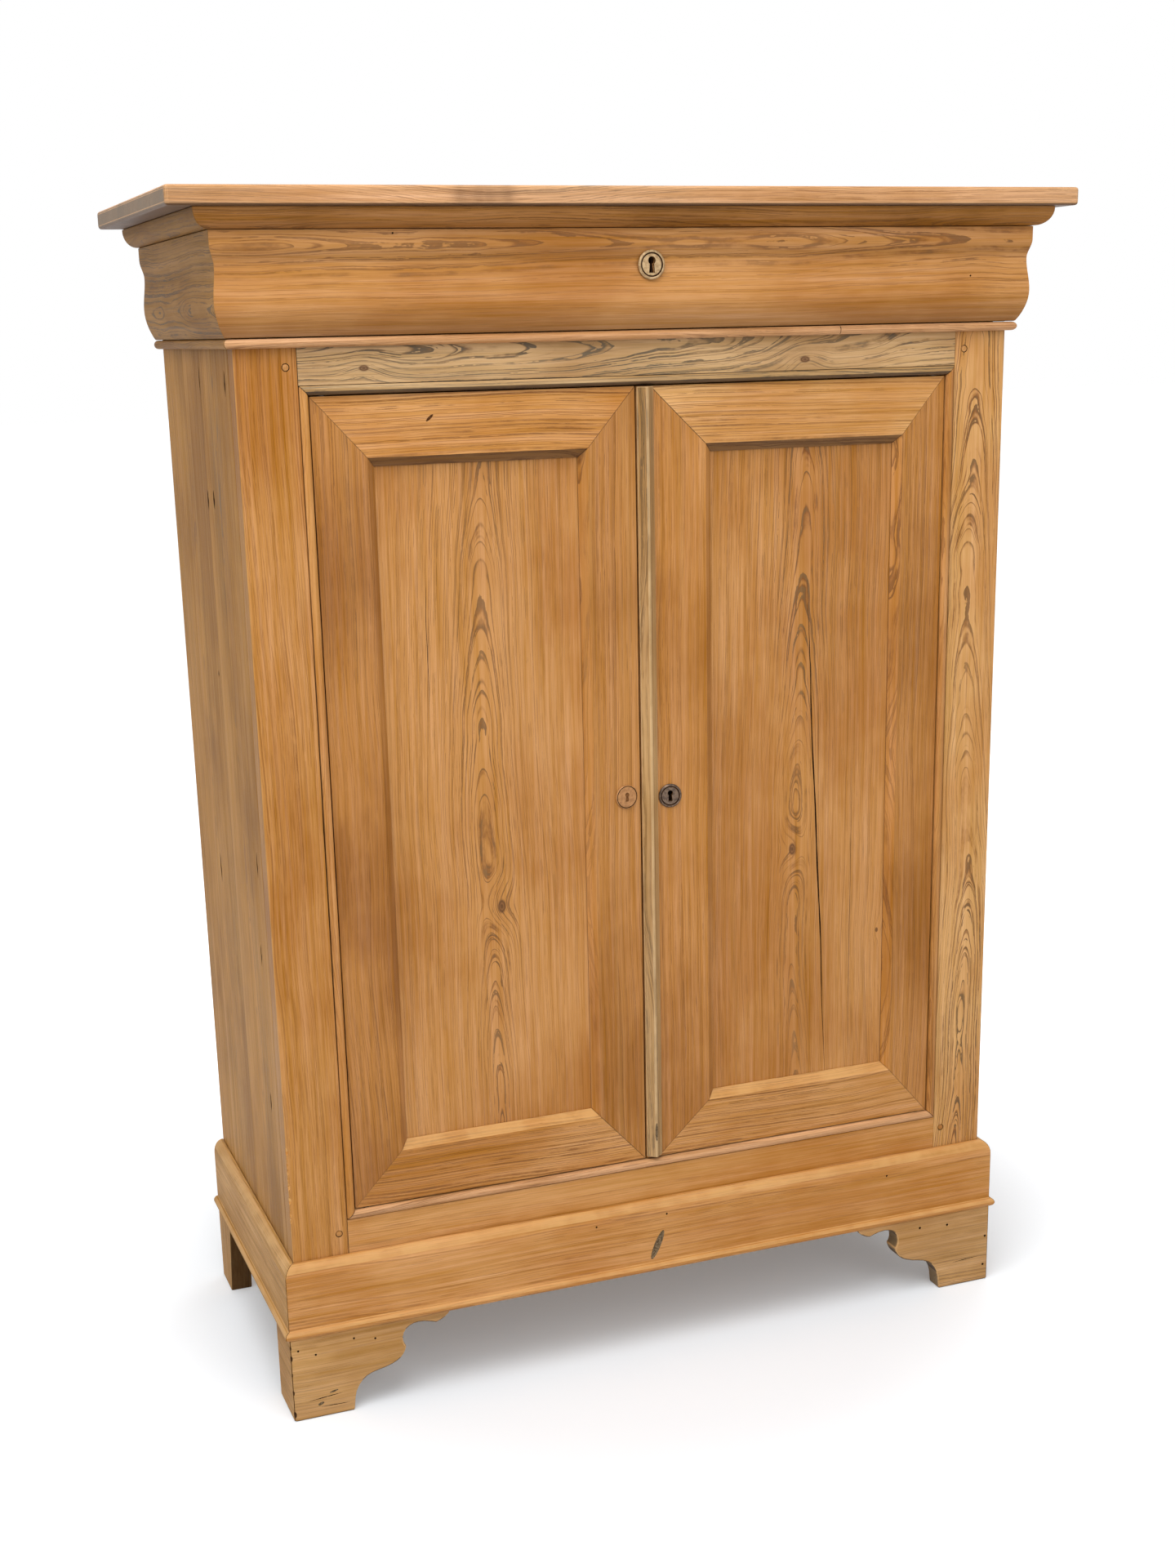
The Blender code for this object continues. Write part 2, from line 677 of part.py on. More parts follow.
def bracket_outline():
    """The scrolled bracket's points, from its outer end, as shares of its length and of its height."""
    ankle = (0.381, 0.154)
    instep = (0.493, 0.416)
    shoulder = (0.622, 0.476)
    lower_point = (0.713, 0.663)
    cove_side = (0.695, 0.779)
    cove_top = (0.794, 0.928)
    upper_point = (0.905, 0.883)
    points = [(0.0, 0.0), (0.371, 0.0), ankle]
    points += bezier(ankle, (0.392, 0.288), (0.436, 0.385), instep)
    points += bezier(instep, (0.534, 0.442), (0.581, 0.442), shoulder, 3)
    points += bezier(shoulder, (0.674, 0.510), (0.703, 0.577), lower_point)
    points += bezier(lower_point, (0.698, 0.692), (0.692, 0.731), cove_side, 3)
    points += bezier(cove_side, (0.698, 0.875), (0.742, 0.928), cove_top)
    points += bezier(cove_top, (0.835, 0.931), (0.877, 0.899), upper_point, 3)
    points += bezier(upper_point, (0.934, 0.894), (0.975, 0.928), (1.0, 1.0))
    return points + [(0.0, 1.0)]


def make_feet():
    face = FRONT - PLINTH_THICK
    end = SIDE + PLINTH_THICK
    for side in (-1, 1):
        name = side_name(side)
        points = [(side * (end - u * BRACKET_LENGTH), v * FOOT_TOP) for u, v in bracket_outline()]
        shape = outline_shape(points, ALONG_Y, face, face + FOOT_THICK)
        corner_trim(shape, side, True)
        place_piece(f"foot_bracket_{name}", shape, HONEY_PINE)
        ends = sorted((side * (end - FOOT_THICK), side * end))
        shape = box_shape((ends[0], face, 0), (ends[1], face + RETURN_LENGTH, FOOT_TOP))
        corner_trim(shape, side, False)
        place_piece(f"foot_return_{name}", shape, SIDE_PINE)
        outline = [(BACK - BACK_FOOT_LOW, 0), (BACK, 0), (BACK, FOOT_TOP), (BACK - BACK_FOOT_TOP, FOOT_TOP)]
        ends = sorted((side * (end - BACK_FOOT_THICK), side * end))
        place_piece(f"foot_back_{name}", outline_shape(outline, ALONG_X, *ends), SIDE_PINE)


# Doors


def member_section(width, chamfer, flat=0.0):
    """Across a door frame member: from its outer edge inwards, and its depth from front to back."""
    groove = width - PANEL_TONGUE - GAP
    return [
        (-flat, LOW_FACE),
        *([(0.0, LOW_FACE)] if flat else []),
        (width - chamfer, LOW_FACE - FRAME_RISE),
        (width, PANEL_FACE - PANEL_LIP),
        (width, PANEL_FACE - GAP),
        (groove, PANEL_FACE - GAP),
        (groove, PANEL_FACE + PANEL_THICK + GAP),
        (width, PANEL_FACE + PANEL_THICK + GAP),
        (width, DOOR_BACK),
        (-flat, DOOR_BACK),
    ]


def make_door(name, side, hinge, meet, mitre_x):
    """side is -1 for the door hinged on the left. The mitres end at mitre_x, and the door at meet."""
    inward = -side
    flat = abs(mitre_x - meet)
    meeting_width = MEETING_STILE_LEFT if side < 0 else MEETING_STILE_RIGHT
    outer = side * DOOR_EDGE
    corners = {}
    for end, level, rail in (("top", DOOR_TOP, DOOR_RAIL_TOP), ("bottom", DOOR_LOW, -DOOR_RAIL_BOTTOM)):
        corners["hinge", end] = ((outer, level), (outer + inward * HINGE_STILE, level - rail))
        corners["meeting", end] = ((mitre_x, level), (mitre_x - inward * meeting_width, level - rail))

    def mitre(shape, edge, end, for_stile):
        """Trims along the line from the frame's outer corner to the panel's corner."""
        (x0, z0), (x1, z1) = corners[edge, end]
        normal = Vector((z1 - z0, 0, x0 - x1))
        upward = 1 if end == "top" else -1
        if normal.z * upward < 0:
            normal = -normal
        trim(shape, (x0, 0, z0), normal if for_stile else -normal)

    rail_chamfer = CHAMFER * DOOR_RAIL_TOP / HINGE_STILE
    for edge, start, direction, width, spare in (
        ("hinge", outer, inward, HINGE_STILE, 0.0),
        ("meeting", mitre_x, side, meeting_width, flat),
    ):
        section = member_section(width, CHAMFER * width / HINGE_STILE, spare)
        points = [(start + direction * across, depth) for across, depth in section]
        shape = outline_shape(points, ALONG_Z, DOOR_LOW, DOOR_TOP)
        for end in ("top", "bottom"):
            mitre(shape, edge, end, True)
        stile = place_piece(f"{name}_{edge}_stile", shape, HONEY_PINE, hinge)
        if edge == "hinge":
            hinge_stile = stile
        else:
            meeting_stile = stile
    rails = {}
    for end, level, downward, width in (
        ("top", DOOR_TOP, -1, DOOR_RAIL_TOP),
        ("bottom", DOOR_LOW, 1, DOOR_RAIL_BOTTOM),
    ):
        section = member_section(width, rail_chamfer * width / DOOR_RAIL_TOP)
        points = [(depth, level + downward * across) for across, depth in section]
        ends = sorted((outer, mitre_x))
        shape = outline_shape(points, ALONG_X, *ends)
        for edge in ("hinge", "meeting"):
            mitre(shape, edge, end, False)
        rails[end] = place_piece(f"{name}_{end}_rail", shape, HONEY_PINE, hinge)
    tongue = PANEL_TONGUE
    ends = sorted((outer + inward * (HINGE_STILE - tongue), mitre_x - inward * (meeting_width - tongue)))
    box(
        f"{name}_panel",
        (ends[0], PANEL_FACE, PANEL_LOW - tongue),
        (ends[1], PANEL_FACE + PANEL_THICK, PANEL_TOP + tongue),
        HONEY_PINE,
        hinge,
    )
    for end, level, upward in (("top", DOOR_TOP, 1), ("bottom", DOOR_LOW, -1)):
        hole = sorted((level + upward * REACH, level - upward * (PIN_IN_DOOR + GAP)))
        place = (side * HINGE_X, HINGE_Y, 0)
        carve(hinge_stile, cylinder_shape(PIN_RADIUS + GAP, *hole, "Z", place))
        carve(rails[end], cylinder_shape(PIN_RADIUS + GAP, *hole, "Z", place))
        make_pin(f"{name}_pin_{end}", side, level, upward, hinge)
    return meeting_stile, rails["top"]


def make_pin(name, side, level, upward, hinge):
    """A turned pin that stands in the door's end, with a collar in the gap under or over the door."""
    inside = PIN_IN_DOOR
    outside = DOOR_GAP + BEAD_WIDTH + PIN_IN_RAIL
    collar = DOOR_GAP - GAP
    profile = [
        (0.0, outside),
        (PIN_RADIUS, outside),
        (PIN_RADIUS, collar),
        (COLLAR_RADIUS, collar),
        (COLLAR_RADIUS, GAP),
        (PIN_RADIUS, GAP),
        (PIN_RADIUS, -inside),
        (0.0, -inside),
    ]
    if upward < 0:
        profile = [(radius, -height) for radius, height in reversed(profile)]
    turned(name, profile, (side * HINGE_X, HINGE_Y, level), (0.0, 0.0, 0.0), IRON, hinge)


def make_plate(name, radius, place, turn, finish, carrier):
    """A round keyhole plate with a raised rim, its back at the place given, facing the front."""
    rim = PLATE_RIM
    thick = PLATE_THICK
    dish = thick * 0.45
    profile = [
        (0.0, dish),
        (radius - rim * 1.35, dish),
        (radius - rim, thick * 0.85),
        (radius - rim * 0.5, thick),
        (radius - rim * 0.12, thick * 0.8),
        (radius, thick * 0.35),
        (radius, 0.0),
        (0.0, 0.0),
    ]
    return turned(name, profile, place, (math.pi / 2, 0.0, turn), finish, carrier)


def keyhole_shape(x, level, start, end):
    """A round hole with a flared slot below it, through from start to end."""
    radius = KEYHOLE_RADIUS
    flare = KEYHOLE_SLOT / 2
    round_part = arc((x, level), (radius, radius), -60, 240, 10)
    points = round_part + [(x - flare * 1.4, level - KEYHOLE_DROP), (x + flare * 1.4, level - KEYHOLE_DROP)]
    return outline_shape(points, ALONG_Y, start, end)


def rod_place():
    return (LEFT_MEET - ROD_IN, LOW_FACE + ROD_BACK, 0)


def slope_at(distance, width):
    """How far the sloping face of a meeting stile stands forward, at a distance from where it starts."""
    return FRAME_RISE * distance / (width - CHAMFER * width / HINGE_STILE)


def make_doors():
    left = empty("left_door_hinge", (-HINGE_X, HINGE_Y, DOOR_MIDDLE))
    right = empty("right_door_hinge", (HINGE_X, HINGE_Y, DOOR_MIDDLE))
    left_stile, left_rail = make_door("left_door", -1, left, LEFT_MEET, LEFT_MEET)
    right_stile, _ = make_door("right_door", 1, right, RIGHT_MEET, RIGHT_MITRE)

    x0 = RIGHT_MEET
    x1 = RIGHT_MEET + STRIP_WIDTH
    back = LOW_FACE - GAP - slope_at(STRIP_LAP, MEETING_STILE_RIGHT)
    ridge = LOW_FACE - STRIP_RIDGE
    points = [
        (x0, back),
        (x1, back),
        (x1, back - STRIP_EDGE),
        ((x0 + x1) / 2 + STRIP_EDGE / 2, ridge),
        ((x0 + x1) / 2 - STRIP_EDGE / 2, ridge),
        (x0, back - STRIP_EDGE),
    ]
    strip = outline_shape(points, ALONG_Z, DOOR_LOW + STRIP_SHORT_LOW, DOOR_TOP - STRIP_SHORT_TOP)
    place_piece("closing_strip", strip, GREY_PINE, right)

    plate_x = RIGHT_MEET + STRIP_WIDTH + RIGHT_PLATE_CLEAR + DOOR_PLATE_RADIUS
    face = LOW_FACE - slope_at(plate_x - RIGHT_MITRE, MEETING_STILE_RIGHT)
    place = (plate_x, face - GAP / math.cos(FACE_SLOPE), DOOR_PLATE_LEVEL)
    name = "right_door_keyhole_plate"
    plate = make_plate(name, DOOR_PLATE_RADIUS, place, -FACE_SLOPE, DARK_BRONZE, right)
    top_of_hole = DOOR_PLATE_LEVEL + KEYHOLE_DROP / 3
    carve(plate, keyhole_shape(plate_x, top_of_hole, face - REACH, LOW_FACE))
    carve(right_stile, keyhole_shape(plate_x, top_of_hole, face - REACH, DOOR_BACK + REACH))

    plate_x = LEFT_MEET - LEFT_PLATE_IN
    face = LOW_FACE - slope_at(LEFT_PLATE_IN, MEETING_STILE_LEFT)
    left_slope = math.atan2(slope_at(1.0, MEETING_STILE_LEFT), 1.0)
    left_level = DOOR_PLATE_LEVEL + LEFT_PLATE_LIFT
    place = (plate_x, face - GAP / math.cos(left_slope), left_level)
    make_plate("left_door_keyhole_plate", DOOR_PLATE_RADIUS, place, left_slope, HONEY_PINE, left)

    make_door_lock(right)
    make_left_bolt(left, left_stile, left_rail)


def make_door_lock(door):
    start = RIGHT_MEET + LOCK_IN
    low = DOOR_PLATE_LEVEL - LOCK_HEIGHT / 2
    back = DOOR_BACK + GAP
    middle = back + LOCK_THICK / 2
    case = box(
        "door_lock_case",
        (start, back, low),
        (start + LOCK_WIDTH, back + LOCK_THICK, low + LOCK_HEIGHT),
        IRON,
        door,
    )
    half_width = LOCK_BOLT_WIDTH / 2
    half_thick = LOCK_BOLT_THICK / 2
    pocket = half_width + GAP, half_thick + GAP
    bolt_start = start + LOCK_BOLT_SINK
    bolt_end = bolt_start + LOCK_BOLT_LENGTH
    corner = (start - REACH, middle - pocket[1], DOOR_PLATE_LEVEL - pocket[0])
    opposite = (bolt_end + RUN, middle + pocket[1], DOOR_PLATE_LEVEL + pocket[0])
    carve(case, box_shape(corner, opposite))
    slide = empty("door_bolt_slide", (start, middle, DOOR_PLATE_LEVEL))
    box(
        "door_lock_bolt",
        (bolt_start, middle - half_thick, DOOR_PLATE_LEVEL - half_width),
        (bolt_end, middle + half_thick, DOOR_PLATE_LEVEL + half_width),
        IRON,
        slide,
    )
    slide.parent = door
    slide.location = slide.location - door.location


def make_left_bolt(door, stile, rail):
    """An iron rod in the left door's meeting stile; its knob pushes it up into the bead above."""
    x, y, _ = rod_place()
    top = DOOR_TOP - LOCK_BOLT_SINK
    low = top - ROD_LENGTH
    knob = top - ROD_KNOB_DROP
    slide = empty("left_bolt_slide", (x, y, knob))
    rod = place_piece("left_door_bolt", cylinder_shape(ROD_RADIUS, low, top, "Z", (x, y, 0)), IRON, slide)
    out = DOOR_BACK + ROD_KNOB_OUT
    carve(rod, cylinder_shape(ROD_KNOB_RADIUS, y, out, "Y", (x, 0, knob)), "UNION")
    slide.parent = door
    slide.location = slide.location - door.location
    for wood in (stile, rail):
        carve(wood, cylinder_shape(ROD_RADIUS + GAP, low - RUN, DOOR_TOP + REACH, "Z", (x, y, 0)))
    slot = ROD_KNOB_RADIUS + RUN
    corner = (x - slot, y, knob - slot)
    opposite = (x + slot, DOOR_BACK + REACH, knob + slot + ROD_THROW)
    carve(stile, box_shape(corner, opposite))


# Drawer


def drawer_bolt_box(clearance):
    """Half the drawer bolt's width and thickness, with the clearance, and the depth at which it slides."""
    middle = FRONT + DRAWER_INNER + GAP + LOCK_THICK / 2
    return LOCK_BOLT_WIDTH / 2 + clearance, LOCK_BOLT_THICK / 2 + clearance, middle


def make_drawer():
    low = FRIEZE_LOW + RUN
    high = BED_LOW - RUN
    slide = empty("drawer_slide", (0, FRONT, (low + high) / 2))
    inner_back = FRONT + DRAWER_INNER
    section = frieze_section(-DRAWER_INNER, low, high)
    front = place_piece("drawer_front", front_moulding(section), HONEY_PINE, slide)
    clear_front_ends(front, low, high, inner_back, RUN)

    outer = INNER - RUN
    inner = outer - DRAWER_SIDE
    side_low = FRIEZE_LOW
    side_top = BED_LOW - DRAWER_HEADROOM
    start = inner_back + GAP
    end = BACK_FACE - DRAWER_REAR_SPACE
    groove_low = side_low + DRAWER_BOTTOM_LIFT
    groove_top = groove_low + DRAWER_BOTTOM
    for side in (-1, 1):
        points = [
            (outer, side_low),
            (outer, side_top),
            (inner, side_top),
            (inner, groove_top + GAP),
            (inner + DRAWER_GROOVE, groove_top + GAP),
            (inner + DRAWER_GROOVE, groove_low - GAP),
            (inner, groove_low - GAP),
            (inner, side_low),
        ]
        points = [(side * x, z) for x, z in points]
        shape = outline_shape(points, ALONG_Y, start, end)
        place_piece(f"drawer_side_{side_name(side)}", shape, INNER_PINE, slide)
    wide = inner + DRAWER_GROOVE - GAP
    box("drawer_bottom", (-wide, start, groove_low), (wide, end, groove_top), INNER_PINE, slide)
    box(
        "drawer_back",
        (-inner + GAP, end - DRAWER_BACK, groove_top + GAP),
        (inner - GAP, end, side_top - DRAWER_BACK_DROP),
        INNER_PINE,
        slide,
    )

    hole = DRAWER_PLATE_LEVEL + KEYHOLE_DROP / 3
    face = FRONT - FRIEZE_HOLLOW_OUT
    deepest = drawer_plate_seat()
    place = (0, FRONT - deepest - GAP, DRAWER_PLATE_LEVEL)
    plate = make_plate("drawer_keyhole_plate", DRAWER_PLATE_RADIUS, place, 0.0, WORN_BRASS, slide)
    carve(plate, keyhole_shape(0, hole, face - 2 * REACH, face + REACH))
    carve(front, keyhole_shape(0, hole, face - 2 * REACH, inner_back + REACH))

    half_width, half_thick, middle = drawer_bolt_box(0.0)
    case_top = BED_LOW - RUN
    case_low = DRAWER_PLATE_LEVEL - LOCK_BOLT_WIDTH
    case = box(
        "drawer_lock_case",
        (-LOCK_WIDTH / 2, start, case_low),
        (LOCK_WIDTH / 2, start + LOCK_THICK, case_top),
        IRON,
        slide,
    )
    bolt_top = case_top - LOCK_BOLT_SINK
    carve(
        case,
        box_shape(
            (-half_width - GAP, middle - half_thick - GAP, bolt_top - LOCK_BOLT_LENGTH - RUN),
            (half_width + GAP, middle + half_thick + GAP, case_top + REACH),
        ),
    )
    bolt_slide = empty("drawer_bolt_slide", (0, middle, bolt_top))
    box(
        "drawer_lock_bolt",
        (-half_width, middle - half_thick, bolt_top - LOCK_BOLT_LENGTH),
        (half_width, middle + half_thick, bolt_top),
        IRON,
        bolt_slide,
    )
    bolt_slide.parent = slide
    bolt_slide.location = bolt_slide.location - slide.location


def drawer_plate_seat():
    """How far out the frieze reaches behind the drawer's plate, so that the flat plate clears it."""
    section = frieze_section(0.0, FRIEZE_LOW + RUN, BED_LOW - RUN)
    behind = [out for out, level in section if abs(level - DRAWER_PLATE_LEVEL) < DRAWER_PLATE_RADIUS]
    return max(behind)


def finish_surfaces():
    """Applies the modifiers, then shades round surfaces smooth and leaves the real edges sharp."""
    bpy.context.view_layer.update()
    graph = bpy.context.evaluated_depsgraph_get()
    for made in PIECES.objects:
        if made.type != "MESH":
            continue
        if made.modifiers:
            shaped = bpy.data.meshes.new_from_object(made.evaluated_get(graph))
            made.modifiers.clear()
            made.data = shaped
        made.data.shade_smooth()
        made.data.set_sharp_from_angle(angle=SHARP_ANGLE)


make_sides()
make_posts()
make_rails()
make_opening_bead()
make_mouldings()
make_boards()
make_feet()
make_doors()
make_drawer()
finish_surfaces()
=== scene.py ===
# %% [markdown]
# Dressing an old pine buffet cabinet
# The frame is a imported CAD model of a waxed pine cupboard: a carcass with a top drawer hidden in its
# frieze, two mitred doors and their locks. This lesson keeps every measure of that frame and gives it its
# looks: worn arrises, the figure of old pine board by board, grime and painted shade, rubbing and painted
# highlight, cracks, pegs and dents, and the small turned plates round the keyholes.

import json
import math

import bpy
from mathutils import Matrix, Vector
from mathutils.bvhtree import BVHTree

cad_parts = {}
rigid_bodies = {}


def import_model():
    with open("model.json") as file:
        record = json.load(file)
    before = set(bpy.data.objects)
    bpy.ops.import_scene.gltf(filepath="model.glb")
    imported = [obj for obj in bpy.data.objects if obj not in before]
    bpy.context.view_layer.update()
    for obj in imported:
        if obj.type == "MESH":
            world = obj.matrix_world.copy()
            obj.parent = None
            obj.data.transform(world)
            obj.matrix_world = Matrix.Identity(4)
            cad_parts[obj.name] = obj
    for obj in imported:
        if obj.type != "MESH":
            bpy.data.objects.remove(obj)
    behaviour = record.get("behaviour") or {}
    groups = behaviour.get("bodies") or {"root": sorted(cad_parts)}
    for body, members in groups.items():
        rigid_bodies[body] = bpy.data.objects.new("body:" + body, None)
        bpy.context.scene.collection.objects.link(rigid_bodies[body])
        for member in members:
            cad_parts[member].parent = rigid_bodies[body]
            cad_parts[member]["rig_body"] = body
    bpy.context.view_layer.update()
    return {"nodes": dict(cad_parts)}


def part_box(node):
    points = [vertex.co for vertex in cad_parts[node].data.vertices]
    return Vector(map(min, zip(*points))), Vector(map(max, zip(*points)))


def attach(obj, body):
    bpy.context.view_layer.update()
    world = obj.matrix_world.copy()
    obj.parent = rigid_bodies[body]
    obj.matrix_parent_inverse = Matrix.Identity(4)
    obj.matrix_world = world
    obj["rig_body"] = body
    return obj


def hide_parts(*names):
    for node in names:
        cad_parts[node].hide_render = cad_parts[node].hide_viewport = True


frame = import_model()
nodes = frame["nodes"]

# %% [markdown]
# The photograph was taken by somebody standing before the left corner,
# holding the camera a little above the middle of the cabinet and tilting it
# down. The angles and the place below were solved from the corners of the
# cabinet, so the camera only repeats them. A sideways and a downward shift
# frame the picture as it was cropped.

# %% Camera
PICTURE = (1439, 1920)
FOCAL_PIXELS = 2472.9
CENTRE_PIXEL = (715.3, 1110.9)
SENSOR = 36.0
AZIMUTH, PITCH, ROLL = (math.radians(a) for a in (20.674, 15.967, -1.293))
STANDPOINT = (-0.8725, -2.2657, 1.2082)

ahead = Vector((math.sin(AZIMUTH) * math.cos(PITCH), math.cos(AZIMUTH) * math.cos(PITCH), -math.sin(PITCH)))
level = Vector((math.cos(AZIMUTH), -math.sin(AZIMUTH), 0.0))
above = level.cross(ahead)
right = math.cos(ROLL) * level + math.sin(ROLL) * above
up = math.cos(ROLL) * above - math.sin(ROLL) * level

bpy.ops.object.camera_add()
camera = bpy.context.object
camera.name = "photo_camera"
turn = Matrix((right, up, -ahead)).transposed().to_4x4()
camera.matrix_world = Matrix.Translation(STANDPOINT) @ turn
camera.data.sensor_fit = "AUTO"
camera.data.sensor_width = SENSOR
camera.data.lens = SENSOR * FOCAL_PIXELS / PICTURE[1]
camera.data.shift_x = (PICTURE[0] / 2 - CENTRE_PIXEL[0]) / PICTURE[1]
camera.data.shift_y = (CENTRE_PIXEL[1] - PICTURE[1] / 2) / PICTURE[1]
bpy.context.scene.camera = camera
bpy.context.scene.view_settings.view_transform = "Standard"
shift = [round(value, 4) for value in (camera.data.shift_x, camera.data.shift_y)]
print("lens", round(camera.data.lens, 2), "shift", shift)

# %% [markdown]
# Shader nodes are easier to read when each little sum is one line of code.
# These helpers put a node into a tree, feed it with numbers or with other
# nodes' outputs, and hand back its output.

# %% Helpers for shader nodes
def tone(red, green, blue):
    """A colour as it is read off a screen, 0 to 255, as the linear colour that a shader takes."""
    linear = []
    for light in (red, green, blue):
        linear.append(light / 255 / 12.92 if light <= 10 else ((light / 255 + 0.055) / 1.055) ** 2.4)
    return (*linear, 1.0)


def feed(tree, socket, value):
    """Links another node's output to the socket, or sets the socket to a number."""
    if isinstance(value, bpy.types.NodeSocket):
        tree.links.new(value, socket)
    else:
        socket.default_value = value


def worked_out(tree, node, operation, values):
    """The outputs of a node that works out one sum of the values."""
    node.operation = operation
    for socket, value in zip(node.inputs, values):
        feed(tree, socket, value)
    return node.outputs


def calc(tree, operation, *values):
    """One sum, such as "ADD" or "MULTIPLY_ADD", of numbers and outputs."""
    return worked_out(tree, tree.nodes.new("ShaderNodeMath"), operation, values)[0]


def place_calc(tree, operation, *places):
    """The same for places, which have three numbers each."""
    return worked_out(tree, tree.nodes.new("ShaderNodeVectorMath"), operation, places)[0]


def distance(tree, place):
    """How far off the place is."""
    return worked_out(tree, tree.nodes.new("ShaderNodeVectorMath"), "LENGTH", [place])["Value"]


def cloud(tree, place, factors, detail=2.0, rough=0.5):
    """Noise about 0.5, drawn out by the three factors."""
    node = tree.nodes.new("ShaderNodeTexNoise")
    feed(tree, node.inputs["Vector"], place_calc(tree, "MULTIPLY", place, factors))
    node.inputs["Scale"].default_value = 1.0
    node.inputs["Detail"].default_value = detail
    node.inputs["Roughness"].default_value = rough
    return node.outputs["Fac"]


def ease(tree, value, low, high, start=0.0, end=1.0):
    """Start below low, end above high, and a soft change between."""
    node = tree.nodes.new("ShaderNodeMapRange")
    node.interpolation_type = "SMOOTHSTEP"
    feed(tree, node.inputs["Value"], value)
    for name, number in (("From Min", low), ("From Max", high), ("To Min", start), ("To Max", end)):
        feed(tree, node.inputs[name], number)
    return node.outputs["Result"]


def blend(tree, factor, under, over, way="MIX"):
    """The colour under at factor 0, and the colour over laid on it at factor 1."""
    node = tree.nodes.new("ShaderNodeMix")
    node.data_type = "RGBA"
    node.blend_type = way
    feed(tree, node.inputs[0], factor)
    feed(tree, node.inputs[6], under)
    feed(tree, node.inputs[7], over)
    return node.outputs[2]


def new_material(name):
    """A material, and the tree of nodes that makes its looks."""
    material = bpy.data.materials.new(name)
    material.use_nodes = True
    return material, material.node_tree


def wire_surface(tree, color, rough, gloss, height, strength, metres):
    """Gives the surface its colour, roughness and gloss, and bumps of so many metres."""
    surface = tree.nodes["Principled BSDF"]
    surface.inputs["Specular IOR Level"].default_value = gloss
    feed(tree, surface.inputs["Base Color"], color)
    feed(tree, surface.inputs["Roughness"], rough)
    bump = tree.nodes.new("ShaderNodeBump")
    bump.inputs["Strength"].default_value = strength
    bump.inputs["Distance"].default_value = metres
    feed(tree, bump.inputs["Height"], height)
    feed(tree, surface.inputs["Normal"], bump.outputs[0])


print("a screen's middle grey is", round(tone(128, 128, 128)[0], 3), "to a shader")

# %% [markdown]
# A studio floor in a sale photograph is all white but for the soft shadow
# round the feet. The floor is a pale matt sheet, and for the camera, and for
# what shines, it glows a little on top of its own light, so the open floor
# is white and the shadow stays. The backdrop is the world's plain white.

# %% Floor and backdrop
NEAR_GLOW = 0.145
FAR_GLOW = 0.78
NEAR_METRES = 0.35
FAR_METRES = 1.1
ROOM_LIGHT = 0.46
FLOOR_GREY = (0.745, 0.77, 0.80, 1.0)
WHITE = (1.0, 1.0, 1.0, 1.0)

bpy.ops.mesh.primitive_plane_add(size=60.0, location=(0.0, 0.0, 0.0))
floor = bpy.context.object
floor.name = "studio_floor"
floor_paint, tree = new_material("pale_floor")
floor.data.materials.append(floor_paint)


def seen_rays(tree):
    """1 where the camera, a reflection or a view through glass looks, else 0."""
    path = tree.nodes.new("ShaderNodeLightPath")
    seen = calc(tree, "MAXIMUM", path.outputs["Is Camera Ray"], path.outputs["Is Glossy Ray"])
    return calc(tree, "MAXIMUM", seen, path.outputs["Is Transmission Ray"])


matt = tree.nodes["Principled BSDF"]
matt.inputs["Base Color"].default_value = FLOOR_GREY
matt.inputs["Roughness"].default_value = 1.0
matt.inputs["Specular IOR Level"].default_value = 0.0
matt.inputs["Emission Color"].default_value = WHITE
spot_on_floor = tree.nodes.new("ShaderNodeTexCoord")
from_cabinet = distance(tree, spot_on_floor.outputs["Object"])
floor_glow = ease(tree, from_cabinet, NEAR_METRES, FAR_METRES, NEAR_GLOW, FAR_GLOW)
feed(tree, matt.inputs["Emission Strength"], calc(tree, "MULTIPLY", seen_rays(tree), floor_glow))

world = bpy.data.worlds.new("white_room")
world.use_nodes = True
bpy.context.scene.world = world
tree = world.node_tree
room = tree.nodes["Background"]
room.inputs["Color"].default_value = WHITE
glow = calc(tree, "MULTIPLY_ADD", seen_rays(tree), 1.0 - ROOM_LIGHT, ROOM_LIGHT)
feed(tree, room.inputs["Strength"], glow)
print("floor glow from", NEAR_GLOW, "to", FAR_GLOW, "and room light", ROOM_LIGHT)

# %% [markdown]
# Four big soft boxes light the cabinet. The strongest hangs above the left
# corner and the next one stands before the front. A faint one at the left
# leaves the side darker than the front, as in the photograph. The fourth
# stands behind, where the photograph shows nothing, for views of the back.

# %% Lamps
MIDDLE = (0.0, 0.0, 0.7)


def lamp(name, place, aim, size, watts):
    """A square soft box at place, turned towards aim."""
    bpy.ops.object.light_add(type="AREA", location=place)
    box = bpy.context.object
    box.name = name
    box.data.size = size
    box.data.energy = watts
    box.rotation_euler = (Vector(aim) - Vector(place)).to_track_quat("-Z", "Y").to_euler()


lamp("soft_top", (-1.0, -1.3, 3.3), MIDDLE, 2.2, 82.0)
lamp("soft_front", (0.3, -3.4, 2.2), MIDDLE, 2.2, 33.0)
lamp("soft_left", (-2.8, -0.6, 2.3), (0.0, 0.0, 0.9), 1.6, 7.0)
lamp("soft_behind", (2.4, 2.6, 2.4), MIDDLE, 2.2, 26.0)

# %% [markdown]
# Pine is sawn from a round log, so the rings of the log cross every board.
# Where the face is near the heart of the log the rings run almost along the
# face and draw long flames; towards the edges they stand steep and draw
# straight lines. One node group works that out for any board: it takes the
# place on the board as across, along and into the face, measures how far
# that place is from the heart, and turns the distance into pale early wood
# and dark late wood. A picture of wood would repeat and couldn't follow the
# end grain. This never repeats, and every face of a board cuts the same log.

